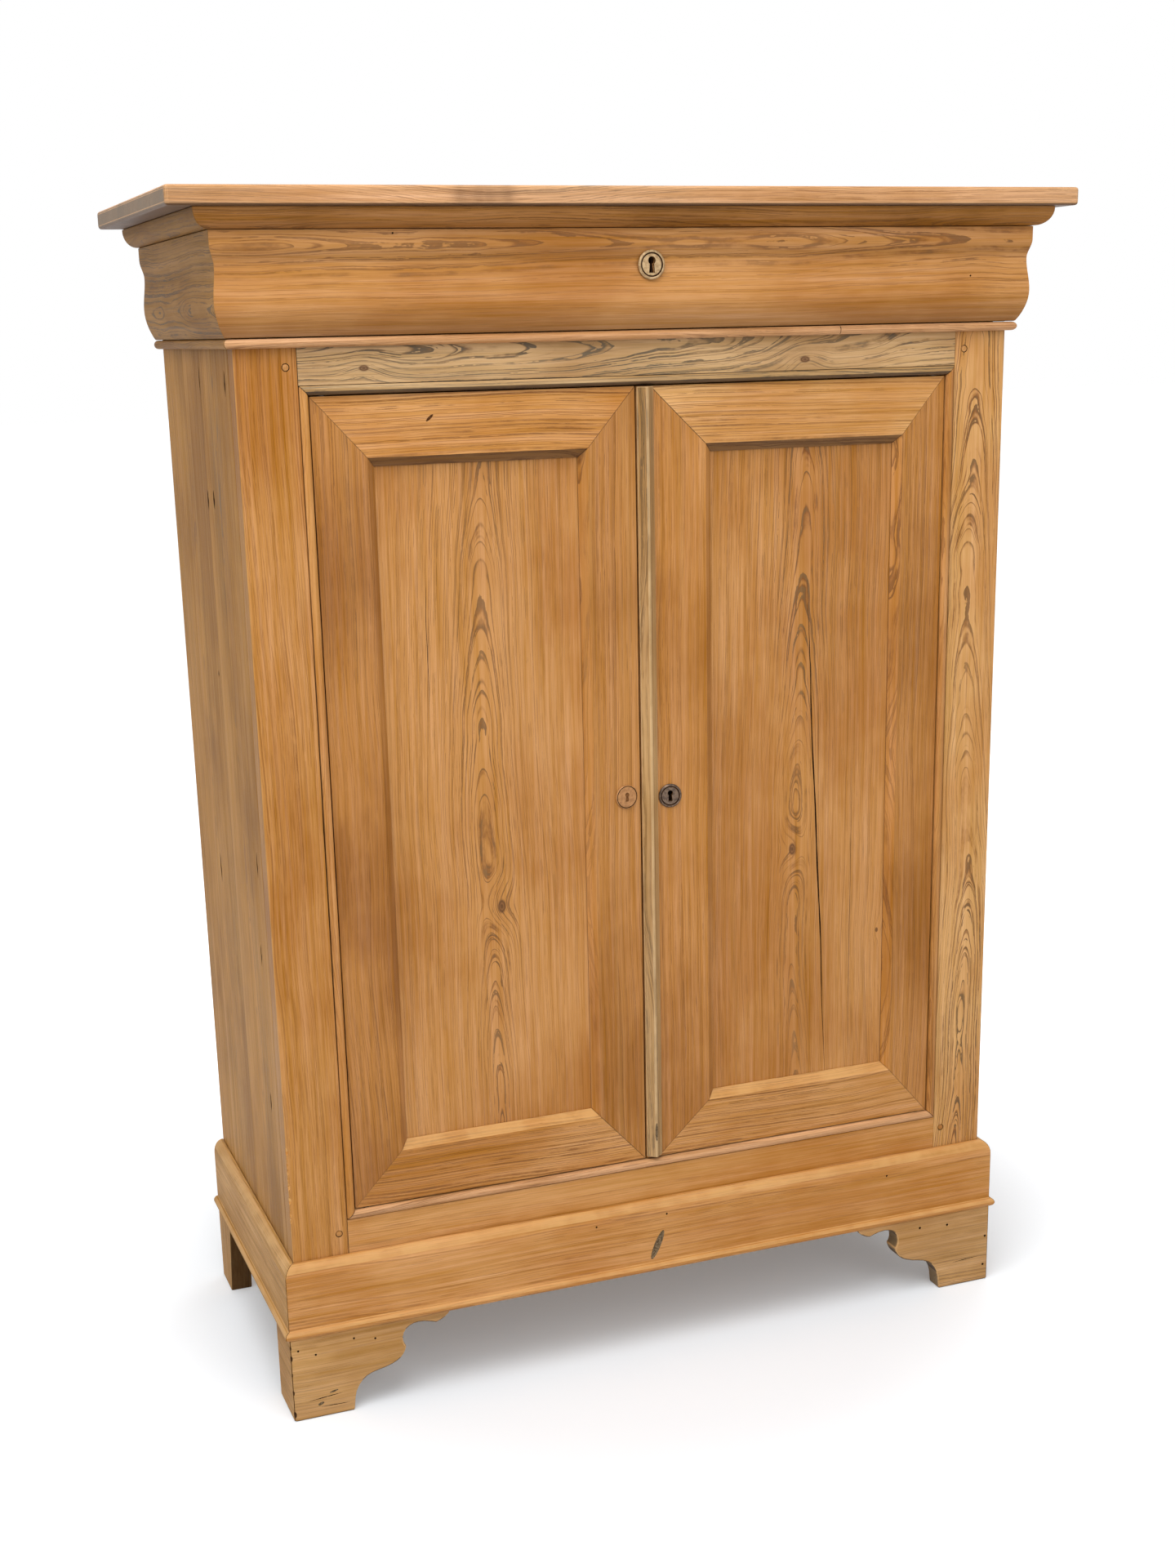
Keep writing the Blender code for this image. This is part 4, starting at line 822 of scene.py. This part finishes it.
BOARDS = (
    ("top_board", "lying", "rose", STRAIGHT, {"aside": 0.223, "heart": 0.08, "lines": 2.0, "grey": 1.0,
        "stain": 0.2, "joints": ((0.07, 0.21),), "knots": ((-0.223, -0.192, 0.024, 3.6),)}),
    ("side_panel_left side_panel_right", "side_up", "side", STRAIGHT, DULL | {"grey": 0.6, "pale": 0.5,
        "gain": 0.97, "joints": ((-0.014, 0.17),)}),
    ("post_left", "up", "amber", STRAIGHT, {"stain": 0.15, "gloss": 0.08}),
    ("post_right", "up", "straw", FLAMED, {"aside": 0.002, "heart": 0.042, "ring": 0.0029, "waver": 0.012,
        "figure": 1.4, "lines": 0.9, "outline": 0.6}),
    ("rail_top", "cross", "ash", FLAMED, {"aside": -0.009, "heart": 0.04, "taper": 0.06, "ring": 0.0048,
        "waver": 0.012, "grey": 1.6, "lines": 0.8, "figure": 1.6, "outline": 0.7,
        "knots": ((-0.008, -0.314, 0.008, 1.7), (-0.012, 0.192, 0.009, 1.7))}),
    ("rail_bottom", "cross", "honey", STRAIGHT, {"lines": 0.35, "figure": 0.4}),
    ("opening_bead_top", "cross", "ash", LINED, {"grey": 1.1, "pale": 0.6, "gain": 0.85}),
    ("opening_bead_bottom", "cross", "rose", STRAIGHT, {}),
    ("opening_bead_left", "up", "honey", STRAIGHT, {}),
    ("opening_bead_right", "up", "amber", STRAIGHT, {}),
    # The bed moulding's front is darkened as painted shade under the top board's overhang.
    ("bed_moulding_front", "cross", "dusky_and_shaded", STRAIGHT, DULL | {"gain": 0.97}),
    ("bed_moulding_left bed_moulding_right", "side_cross", "shade", STRAIGHT, DULL | {"gain": 0.8}),
    ("frieze_return_left", "side_cross", "shade", LOOPED, DULL | {"aside": 0.03, "heart": 0.05,
        "waver": 0.008, "figure": 1.5, "lines": 1.0, "pale": 0.4, "gain": 0.93}),
    ("frieze_return_right", "side_cross", "side", LOOPED, DULL | {"lines": 0.6, "pale": 0.4}),
    ("astragal_front", "cross", "rose", STRAIGHT, {}),
    ("astragal_left astragal_right", "side_cross", "shade", STRAIGHT, DULL),
    ("plinth_front", "cross", "honey", LINED, {"lines": 0.6, "figure": 0.6}),
    ("plinth_left plinth_right", "side_cross", "dry", STRAIGHT, DULL | {"gain": 0.9}),
    ("foot_bracket_left foot_bracket_right", "cross", "dry", LINED, {"lines": 0.5, "grey": 0.6}),
    ("foot_return_left foot_return_right", "side_cross", "dry", STRAIGHT, DULL | {"gain": 0.93}),
    ("foot_back_left foot_back_right", "up", "dry", STRAIGHT, DULL | {"gain": 0.9}),
    ("closing_strip", "up", "ash", STRAIGHT, {"gain": 0.9, "grey": 0.8}),
    ("drawer_front", "cross", "amber", LOOPED, {"aside": -0.039, "taper": 0.015, "ring": 0.004,
        "waver": 0.006, "lines": 0.25}),
    ("left_door_hinge_stile", "up", "brown", STRAIGHT, {}),
    ("left_door_meeting_stile", "up", "tawny", STRAIGHT, {"pale": 0.25}),
    ("left_door_top_rail left_door_bottom_rail", "cross", "honey", LINED, {}),
    ("left_door_panel", "up", "amber", FLAMED, {"knots": ((0.011, -0.116, 0.012, 1.7),)}),
    ("right_door_hinge_stile", "up", "tawny", STRAIGHT, {}),
    ("right_door_meeting_stile", "up", "tawny", STRAIGHT, {"pale": 0.25}),
    ("right_door_top_rail", "cross", "straw", LINED, {}),
    ("right_door_bottom_rail", "cross", "honey", LINED, {}),
    ("right_door_panel", "up", "amber", FLAMED,
        {"knots": ((-0.009, -0.09, 0.011, 1.7), (0.107, -0.205, 0.005, 1.5))}),
    ("bottom_board", "lying", "bare", STRAIGHT, {"joints": ((0.03, 0.19),)}),
    ("shelf", "lying", "bare", STRAIGHT, {"joints": ((-0.04, 0.2),)}),
    ("dust_board", "lying", "bare", STRAIGHT, {"joints": ((0.02, 0.18),)}),
    ("back_panel", "up", "bare", STRAIGHT, {"joints": ((-0.24, 0.2), (0.01, 0.21), (0.23, 0.19)),
        "stain": 0.6, "lines": 1.1}),
    ("drawer_bottom", "lying", "bare", STRAIGHT, {}),
    ("drawer_back", "cross", "bare", STRAIGHT, {}),
    ("drawer_side_left drawer_side_right", "side_cross", "bare", STRAIGHT, {}),
)
MOULDED = ("bed_moulding", "frieze", "astragal", "drawer_front", "opening_bead", "plinth", "foot_bracket")
OPEN_MITRES = ("bed_moulding", "frieze", "drawer_front", "astragal")
FOOT_ARRIS = 0.0016
ARRIS = 0.0009
MOULDED_EDGE = 30.0
PLAIN_EDGE = 4.0
FIRST_SEED = 3.0
NEXT_SEED = 1.7

worn = {}
for names, run, shade, style, extra in BOARDS:
    for node_name in names.split():
        low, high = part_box(node_name)
        seed = FIRST_SEED + len(worn) * NEXT_SEED
        wood = pine("pine_" + node_name, run, (low + high) / 2, shade, seed, **(style | extra))
        piece = board_copy(node_name)
        width = FOOT_ARRIS if "foot" in node_name else ARRIS
        least_angle = MOULDED_EDGE if node_name.startswith(MOULDED) else PLAIN_EDGE
        rounded = wear_edges(piece, width, least_angle)
        grain_axis = "XYZ".index(RUNS[run][1])
        mark_faces(piece, node_name, rounded, grain_axis, node_name.startswith(OPEN_MITRES))
        piece.data.materials[0] = wood
        stand_for(piece, node_name)
        worn[node_name] = piece
        print(node_name, len(piece.data.polygons), "faces")

# %% [markdown]
# What tells an old cupboard from a new one is small damage: a panel that split as it dried, nail holes, a
# gouge in the plinth, chips along the corner and the pegs that hold the tenons. They are cut into the
# boards, not painted, so they catch real shadow. Each cutter is a small closed shape set across the face,
# and the wood inside a cut takes the cutter's material; the dark one in cracks, holes and keyholes is dirt
# and painted shade.

# %% Dirt and painted shade, and fresh wood, inside the cuts
def plain_finish(name, light, dark, rough, scale, metal=0.0, relief=0.0004, gloss=0.5):
    """Two colours clouded into each other, with a matching roughness and bump."""
    material, tree = new_material(name)
    where = tree.nodes.new("ShaderNodeTexCoord")
    cloudy = cloud(tree, where.outputs["Object"], (scale, scale, scale), 4.0, 0.6)
    tree.nodes["Principled BSDF"].inputs["Metallic"].default_value = metal
    color = blend(tree, ease(tree, cloudy, 0.36, 0.64), tone(*light), tone(*dark))
    rough = calc(tree, "MULTIPLY_ADD", cloudy, 0.3, rough - 0.15)
    wire_surface(tree, color, rough, gloss, cloudy, 0.5, relief)
    return material


# A dark brown for inside cracks, holes, keyholes and grooves: dirt and painted shade.
dirt_and_painted_shade = plain_finish("dirt_and_painted_shade", (74, 48, 28), (40, 26, 16), 0.9, 400.0, gloss=0.1)
raw_wood = plain_finish("raw_wood", (214, 164, 98), (186, 124, 58), 0.7, 300.0, gloss=0.2)
grey_dent = plain_finish("grey_dent", (128, 108, 82), (84, 66, 46), 0.85, 500.0, gloss=0.1)
scratched = plain_finish("scratched_mark", (128, 84, 46), (104, 66, 36), 0.6, 400.0, gloss=0.1)
print("inside a cut:", [finish.name for finish in (dirt_and_painted_shade, raw_wood, grey_dent, scratched)])

# %% Cutters for cracks, holes and chips
FRONT = Vector((0.0, 1.0, 0.0))
LEFT_SIDE = Vector((1.0, 0.0, 0.0))
INTO_FRONT = (math.pi / 2, 0.0, 0.0)
PROUD = 0.0015
TIP = 0.12
SMOOTH_BELOW = math.radians(35.0)


def settled():
    """The newest piece, with its place, turn and size moved into its mesh."""
    bpy.ops.object.transform_apply(location=True, rotation=True, scale=True)
    return bpy.context.object


def close_piece():
    """Turns all faces of the open piece outwards and closes it."""
    bpy.ops.mesh.select_all(action="SELECT")
    bpy.ops.mesh.normals_make_consistent(inside=False)
    bpy.ops.object.mode_set(mode="OBJECT")


def crack(path, width, depth, into):
    """A thin blade along a path on a face, closing to a point at both ends."""
    path = [Vector(point) for point in path]
    bpy.ops.mesh.primitive_grid_add(x_subdivisions=len(path) - 1, y_subdivisions=1, size=1.0)
    blade = bpy.context.object
    for vertex in blade.data.vertices:
        step = round((vertex.co.x + 0.5) * (len(path) - 1))
        side = math.copysign(1.0, vertex.co.y)
        before, after = path[max(step - 1, 0)], path[min(step + 1, len(path) - 1)]
        across_path = into.cross(after - before).normalized()
        ends = TIP + math.sin(math.pi * step / (len(path) - 1)) * (0.8 + 0.2 * math.sin(step * 2.3))
        vertex.co = path[step] + across_path * side * ends * width / 2 - into * PROUD
    open_piece()
    bpy.ops.mesh.extrude_region_move(TRANSFORM_OT_translate={"value": into * (depth + PROUD)})
    close_piece()
    return blade


def wander(start, end, count, sway, seed):
    """Points from start to end that stray in a slow and a quick wave, as a split follows the
    grain: in x where the path keeps its y, and else in y."""
    start, end = Vector(start), Vector(end)
    keeps_y = abs(start.x - end.x) < 0.1 and start.y == end.y
    aside = LEFT_SIDE if keeps_y else FRONT
    points = []
    for step in range(count):
        share = step / (count - 1)
        stray = math.sin(seed + share * 9.0) * 0.6 + math.sin(seed * 2.1 + share * 23.0) * 0.4
        points.append(start.lerp(end, share) + aside * stray * sway)
    return points


def pit(place, radii, lean=0.0):
    """An egg-shaped dent, which may lean by some degrees on the front."""
    turn = (0.0, math.radians(lean), 0.0)
    egg = {"segments": 18, "ring_count": 10, "radius": 1.0}
    bpy.ops.mesh.primitive_uv_sphere_add(location=place, rotation=turn, scale=radii, **egg)
    return settled()


def dowel(place, radius, length, sides):
    """A round rod that points into the front, with its middle at place."""
    rod = {"vertices": sides, "radius": radius, "depth": length}
    bpy.ops.mesh.primitive_cylinder_add(location=place, rotation=INTO_FRONT, **rod)
    return settled()


def drill(place, radius, depth):
    """The cutter for a round hole into the front."""
    return dowel(place, radius, depth * 2, 20)


def carve(piece, cutters, inside):
    """Cuts all the cutters out of the piece at once; the cut faces take the inside material."""
    select_only(cutters[0])
    for cutter in cutters:
        cutter.data.materials.clear()
        cutter.data.materials.append(inside)
        cutter.select_set(True)
    if len(cutters) > 1:
        bpy.ops.object.join()
    tool = bpy.context.object
    faces_before = len(piece.data.polygons)
    cut = {"operation": "DIFFERENCE", "solver": "EXACT", "use_self": True, "material_mode": "TRANSFER"}
    use_modifier(piece, "BOOLEAN", object=tool, **cut)
    bpy.data.objects.remove(tool)
    select_only(piece)
    bpy.ops.object.shade_smooth_by_angle(angle=SMOOTH_BELOW)
    use_modifier(piece, "WEIGHTED_NORMAL", keep_sharp=True)
    print(piece.name, "cut:", faces_before, "->", len(piece.data.polygons), "faces")


print("a cutter starts", PROUD * 1000, "mm before the face")

# %% [markdown]
# The long split in the right panel runs from above the lock down to the
# bottom rail and leans a little, as the photograph shows. The gouge and the
# chip on the plinth are shallow eggs. Nail holes are drilled where the feet,
# the plinth and the drawer front show them.

# %% Splits in the panels, and a nick in the rail
PANEL_FACE = -0.173
split = wander((0.2005, PANEL_FACE, 0.925), (0.2308, PANEL_FACE, 0.317), 26, 0.0009, 2.0)
hairline = wander((0.262, PANEL_FACE, 0.70), (0.262, PANEL_FACE, 0.33), 14, 0.0006, 5.0)
splits = [crack(split, 0.0021, 0.005, FRONT), crack(hairline, 0.0006, 0.002, FRONT)]
carve(worn["right_door_panel"], splits, dirt_and_painted_shade)
hairline = wander((-0.256, PANEL_FACE, 0.98), (-0.258, PANEL_FACE, 0.80), 12, 0.0008, 1.0)
carve(worn["left_door_panel"], [crack(hairline, 0.0007, 0.002, FRONT)], dirt_and_painted_shade)
nick = pit((-0.2459, -0.1790, 1.1224), (0.0016, 0.0022, 0.0055), 50.0)
carve(worn["left_door_top_rail"], [nick], scratched)

# %% Plinth, drawer front and feet
BASE_FACE = -0.193
DRAWER_FACE = -0.20


def nail_holes(face, places, radius, depth):
    return [drill((x, face, z), radius, depth) for x, z in places]


def base_crack(start, end, count, seed, width):
    """A level crack in a foot, from one (x, z) to another."""
    path = wander((start[0], BASE_FACE, start[1]), (end[0], BASE_FACE, end[1]), count, 0.0, seed)
    return crack(path, width, 0.003, FRONT)


nails = nail_holes(BASE_FACE, ((-0.0836, 0.1751), (0.0078, 0.1758), (0.31, 0.172)), 0.0012, 0.004)
carve(worn["plinth_front"], nails, dirt_and_painted_shade)
gouge = pit((-0.0047, -0.1934, 0.1373), (0.0045, 0.0022, 0.0200), 24.0)
chip = pit((0.3460, -0.1935, 0.1885), (0.0040, 0.0018, 0.0030), 30.0)
carve(worn["plinth_front"], [gouge, chip], grey_dent)
nails = nail_holes(DRAWER_FACE, ((-0.2825, 1.3055), (0.3905, 1.2568)), 0.0010, 0.006)
carve(worn["drawer_front"], nails, dirt_and_painted_shade)
LEFT_FOOT_NAILS = [(-0.4528, 0.0892), (-0.4327, 0.0806), (-0.3869, 0.0920)]
LEFT_FOOT_NAILS += [(-0.3616, 0.0867), (-0.3279, 0.0813)]
holes = nail_holes(BASE_FACE, LEFT_FOOT_NAILS, 0.0013, 0.005)
holes.append(base_crack((-0.4440, 0.0230), (-0.4040, 0.0262), 10, 3.0, 0.0012))
holes.append(base_crack((-0.4300, 0.0130), (-0.3960, 0.0120), 9, 4.0, 0.0010))
carve(worn["foot_bracket_left"], holes, dirt_and_painted_shade)
scuffs = [pit((-0.4299, -0.1935, 0.0172), (0.0042, 0.0012, 0.0020), -20.0)]
scuffs.append(pit((-0.4140, -0.1935, 0.0300), (0.0060, 0.0012, 0.0013), -12.0))
carve(worn["foot_bracket_left"], scuffs, grey_dent)
RIGHT_FOOT_NAILS = ((0.4553, 0.0219), (0.4572, 0.0619), (0.40, 0.088), (0.36, 0.091))
holes = nail_holes(BASE_FACE, RIGHT_FOOT_NAILS, 0.0016, 0.005)
holes.append(base_crack((0.4100, 0.0330), (0.4480, 0.0350), 9, 2.0, 0.0011))
carve(worn["foot_bracket_right"], holes, dirt_and_painted_shade)

# %% [markdown]
# The side that the photograph shows is the roughest: short checks where the
# boards dried, wide enough to look like knife cuts. The other side gets half
# as many, at other places, so that it isn't a mirror image.

# %% Checks in the sides
SIDE_FACE = -0.449
CHECK_DEPTH = 0.0025
OTHER_SIDE_BACK = 0.06
OTHER_SIDE_HIGH = 1.3
SIDE_CRACKS = (
    (0.0053, 1.0359, 0.022, 0.0060),
    (-0.0282, 1.0381, 0.020, 0.0075),
    (-0.1307, 1.1623, 0.026, 0.0058),
    (0.0075, 1.1644, 0.030, 0.0035),
    (0.0911, 0.5948, 0.036, 0.0060),
    (-0.1289, 0.6493, 0.030, 0.0045),
    (-0.1172, 0.5426, 0.026, 0.0045),
    (-0.1154, 0.3660, 0.024, 0.0045),
    (0.0166, 0.8405, 0.007, 0.0040),
    (0.0300, 0.4800, 0.060, 0.0016),
)


def check(x, y, z, length, width, slant, seed):
    """A short upright crack round a place on a side, which gets narrow at both ends."""
    path = wander((x, y, z + length / 2), (x, y - slant * width, z - length / 2), 7, 0.0006, seed)
    return crack(path, width, CHECK_DEPTH, LEFT_SIDE if x < 0 else -LEFT_SIDE)


checks = [check(SIDE_FACE, *row, 0.1, number) for number, row in enumerate(SIDE_CRACKS)]
carve(worn["side_panel_left"], checks, dirt_and_painted_shade)
checks = []
for number, (y, z, length, width) in enumerate(SIDE_CRACKS[::2]):
    place = (-SIDE_FACE, y + OTHER_SIDE_BACK, OTHER_SIDE_HIGH - z)
    checks.append(check(*place, length, width, 0.0, number))
carve(worn["side_panel_right"], checks, dirt_and_painted_shade)

# %% [markdown]
# Furniture is carried round corners, so its own corners are chipped. On the
# left post the chips are fresh wood and stand in a row over the plinth. Those
# on the foot are old and dark.

# %% Chips down the left corner
LOWEST_CHIP = 0.245
CHIP_STEP = 0.0085
post_chips = []
for number in range(11):
    height = LOWEST_CHIP + CHIP_STEP * number
    bite = 0.0012 + 0.0008 * math.sin(number * 2.7)
    post_chips.append(pit((-0.4492, -0.1802, height), (bite * 1.4, bite * 1.4, 0.0028 + bite)))
carve(worn["post_left"], post_chips, raw_wood)
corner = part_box("foot_bracket_left")[0]
FOOT_CHIPS = ((0.094, 0.0014), (0.081, 0.0021), (0.060, 0.0013), (0.037, 0.0018), (0.009, 0.0026))
for node_name in ("foot_bracket_left", "foot_return_left"):
    chips = [pit((corner.x, corner.y, height), (bite, bite, 0.0018 + bite)) for height, bite in FOOT_CHIPS]
    carve(worn[node_name], chips, dirt_and_painted_shade)

# %% [markdown]
# Boards shrink across the grain, so joints open. A gap runs beside the left
# bead, and the closing strip has a crease along it and a dent at its foot.
# The astragal was pieced near its right end, which shows as a thin seam.

# %% Gap, crease and seam
POST_FACE = -0.180
STRIP_FACE = -0.1868
gap = wander((-0.3838, POST_FACE, 0.97), (-0.3838, POST_FACE, 0.262), 24, 0.0003, 1.0)
carve(worn["post_left"], [crack(gap, 0.0016, 0.005, FRONT)], dirt_and_painted_shade)
crease = wander((0.0021, STRIP_FACE, 1.120), (0.0021, STRIP_FACE, 0.262), 30, 0.0005, 3.0)
dent = pit((-0.0010, STRIP_FACE, 0.281), (0.0021, 0.0016, 0.012))
carve(worn["closing_strip"], [crack(crease, 0.0012, 0.0018, FRONT), dent], grey_dent)
seam = [(0.2313, -0.1905, z) for z in (1.193, 1.1965, 1.2, 1.2035, 1.2068, 1.21)]
carve(worn["astragal_front"], [crack(seam, 0.0009, 0.003, FRONT)], dirt_and_painted_shade)

# %% [markdown]
# The rails are held in the posts by tenons, and a round peg is driven
# through each one. Its end shows as a small ring: a turned peg of end grain
# standing a hair proud in a hole with a dark rim.

# %% Pegs
PEG_RADIUS = 0.0034
PEG_GAP = 0.0008
PEG_LENGTH = 0.0031
PEG_MIDDLE = -0.17865
PEG_ARRIS = 0.0006
PEGS = (
    ("post_left", -0.3957, 1.1774),
    ("post_left", -0.3939, 0.2194),
    ("post_right", 0.3957, 1.1774),
    ("post_right", 0.3939, 0.2194),
)
RUNS["through"] = ("X", "Y", "Z")
centre = Vector((0.0, -0.18, 1.0))
peg_wood = pine("peg_end_grain", "through", centre, "amber", 61.0, heart=0.02, ring=0.0015)
for number, (post, x, z) in enumerate(PEGS):
    carve(worn[post], [drill((x, POST_FACE, z), PEG_RADIUS + PEG_GAP, 0.003)], dirt_and_painted_shade)
    peg = dowel((x, PEG_MIDDLE, z), PEG_RADIUS, PEG_LENGTH, 28)
    peg.name = f"peg_{number + 1}"
    use_modifier(peg, "BEVEL", width=PEG_ARRIS, segments=2, limit_method="ANGLE")
    bpy.ops.object.shade_smooth_by_angle(angle=SMOOTH_BELOW)
    peg.data.materials.append(peg_wood)
    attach(peg, "carcass")

# %% [markdown]
# Round the keyholes sit small turned plates: a rounded rim, a dark groove,
# and a slightly domed middle with the keyhole through it. Each is drawn from
# one disc by insetting its face again and again, every inset a little
# further out or back, as a turner cuts a profile. The plates on the doors
# lean with the slope of the stiles. The left door has no lock, so its plate
# only has the shape of a keyhole scratched in.

# %% Keyhole plates
brass = plain_finish("worn_brass_plate", (184, 154, 112), (150, 120, 82), 0.5, 260.0, 0.35, 0.0002)
bronze = plain_finish("dark_bronze_plate", (112, 90, 72), (72, 56, 44), 0.45, 300.0, 0.5, 0.0002)
waxed = plain_finish("waxed_over_plate", (176, 124, 72), (150, 102, 56), 0.5, 260.0, 0.1, 0.0002)
PLATE_THICK = 0.0022
PLATE_SHARE = 0.995
WALL = 0.45
PROFILE = (
    (0.04, 0.35), (0.06, 0.20), (0.06, -0.10), (0.03, -0.45),
    (0.05, 0.00), (0.03, 0.27), (0.25, 0.06), (0.25, 0.04),
)
GROOVE = (0.72, 0.84)
FLAT_PROFILE = (
    (0.03, 0.30), (0.03, 0.10), (0.02, -0.35), (0.03, 0.00),
    (0.02, 0.35), (0.30, 0.06), (0.30, 0.04),
)
FLAT_GROOVE = (0.86, 0.95)
EYE = 0.24
SLOT_WIDE = 0.26
SLOT_TALL = 0.68
SLOT_DROP = 0.14
SLOT_WIDENS = 1.45


def keyhole(tall, depth):
    """A cutter into the front: a round eye above a slot that widens downwards."""
    eye_radius = tall * EYE
    slot_middle = -tall * SLOT_DROP
    eye = dowel((0.0, -PLATE_THICK, eye_radius), eye_radius, depth * 2, 24)
    size = (tall * SLOT_WIDE, depth * 2.001, tall * SLOT_TALL)
    bpy.ops.mesh.primitive_cube_add(size=1.0, location=(0.0, -PLATE_THICK, slot_middle), scale=size)
    slot = settled()
    for vertex in slot.data.vertices:
        if vertex.co.z < slot_middle:
            vertex.co.x *= SLOT_WIDENS
    use_modifier(eye, "BOOLEAN", operation="UNION", object=slot, solver="EXACT")
    bpy.data.objects.remove(slot)
    return eye


def seat(piece, place, lean):
    """Turns the piece by lean degrees about the upright and sets it at place."""
    piece.rotation_euler = (0.0, 0.0, math.radians(lean))
    piece.location = place
    select_only(piece)
    settled()


def plate(name, node_name, metal, lean, profile, ring):
    """A plate on its CAD node's place, drawn from the profile, with dirt and painted shade in the ring of
    its groove.
    """
    low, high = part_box(node_name)
    radius = (high.z - low.z) / 2 * PLATE_SHARE
    bpy.ops.mesh.primitive_circle_add(vertices=72, radius=radius, fill_type="NGON", rotation=INTO_FRONT)
    disc = settled()
    disc.name = name
    open_piece()
    bpy.ops.mesh.extrude_region_move(TRANSFORM_OT_translate={"value": (0.0, -PLATE_THICK * WALL, 0.0)})
    for inward, out in profile:
        bpy.ops.mesh.inset(thickness=radius * inward, depth=0.0)
        bpy.ops.transform.translate(value=(0.0, -PLATE_THICK * out, 0.0))
    close_piece()
    disc.data.materials.append(metal)
    disc.data.materials.append(dirt_and_painted_shade)
    for polygon in disc.data.polygons:
        share = math.hypot(polygon.center.x, polygon.center.z) / radius
        if ring[0] < share < ring[1] and polygon.center.y < 0:
            polygon.material_index = 1
    back = high.y - radius * abs(math.sin(math.radians(lean)))
    place = ((low.x + high.x) / 2, back, (low.z + high.z) / 2)
    seat(disc, place, lean)
    stand_for(disc, node_name)
    print(name, "radius", round(radius * 1000, 1), "mm")
    return disc, place


def pierce(piece, place, tall, depth, lean, inside):
    """Cuts the keyhole into the piece, depth deep behind the plate's front."""
    cutter = keyhole(tall, depth)
    seat(cutter, place, lean)
    carve(piece, [cutter], inside)


DRAWER_KEYHOLE = 0.0175
DOOR_KEYHOLE = 0.0135
SCRATCHED_KEYHOLE = 0.8 * DOOR_KEYHOLE
SCRATCH = 0.0008
RIGHT_LEAN = -5.9
LEFT_LEAN = 6.4
disc, place = plate("plate_drawer", "drawer_keyhole_plate", brass, 0.0, PROFILE, GROOVE)
pierce(disc, place, DRAWER_KEYHOLE, 0.006, 0.0, dirt_and_painted_shade)
pierce(worn["drawer_front"], place, DRAWER_KEYHOLE, 0.020, 0.0, dirt_and_painted_shade)
disc, place = plate("plate_right_door", "right_door_keyhole_plate", bronze, RIGHT_LEAN, PROFILE, GROOVE)
pierce(disc, place, DOOR_KEYHOLE, 0.006, RIGHT_LEAN, dirt_and_painted_shade)
pierce(worn["right_door_meeting_stile"], place, DOOR_KEYHOLE, 0.014, RIGHT_LEAN, dirt_and_painted_shade)
flat_look = (LEFT_LEAN, FLAT_PROFILE, FLAT_GROOVE)
disc, place = plate("plate_left_door", "left_door_keyhole_plate", waxed, *flat_look)
pierce(disc, place, SCRATCHED_KEYHOLE, SCRATCH, LEFT_LEAN, scratched)

# %% [markdown]
# The locks, the bolts and the hinge pins are dark forged iron. They keep
# their CAD shapes, because little of them is ever seen, and only get the
# finish.

# %% Iron inside: locks, bolts and hinge pins
iron = plain_finish("forged_iron", (74, 70, 66), (46, 38, 32), 0.55, 180.0, 0.85, 0.0004)
iron_nodes = [name for name, node in nodes.items() if node.data.materials[0].name == "iron"]
for name in iron_nodes:
    nodes[name].data.materials[0] = iron
print("iron:", iron_nodes)
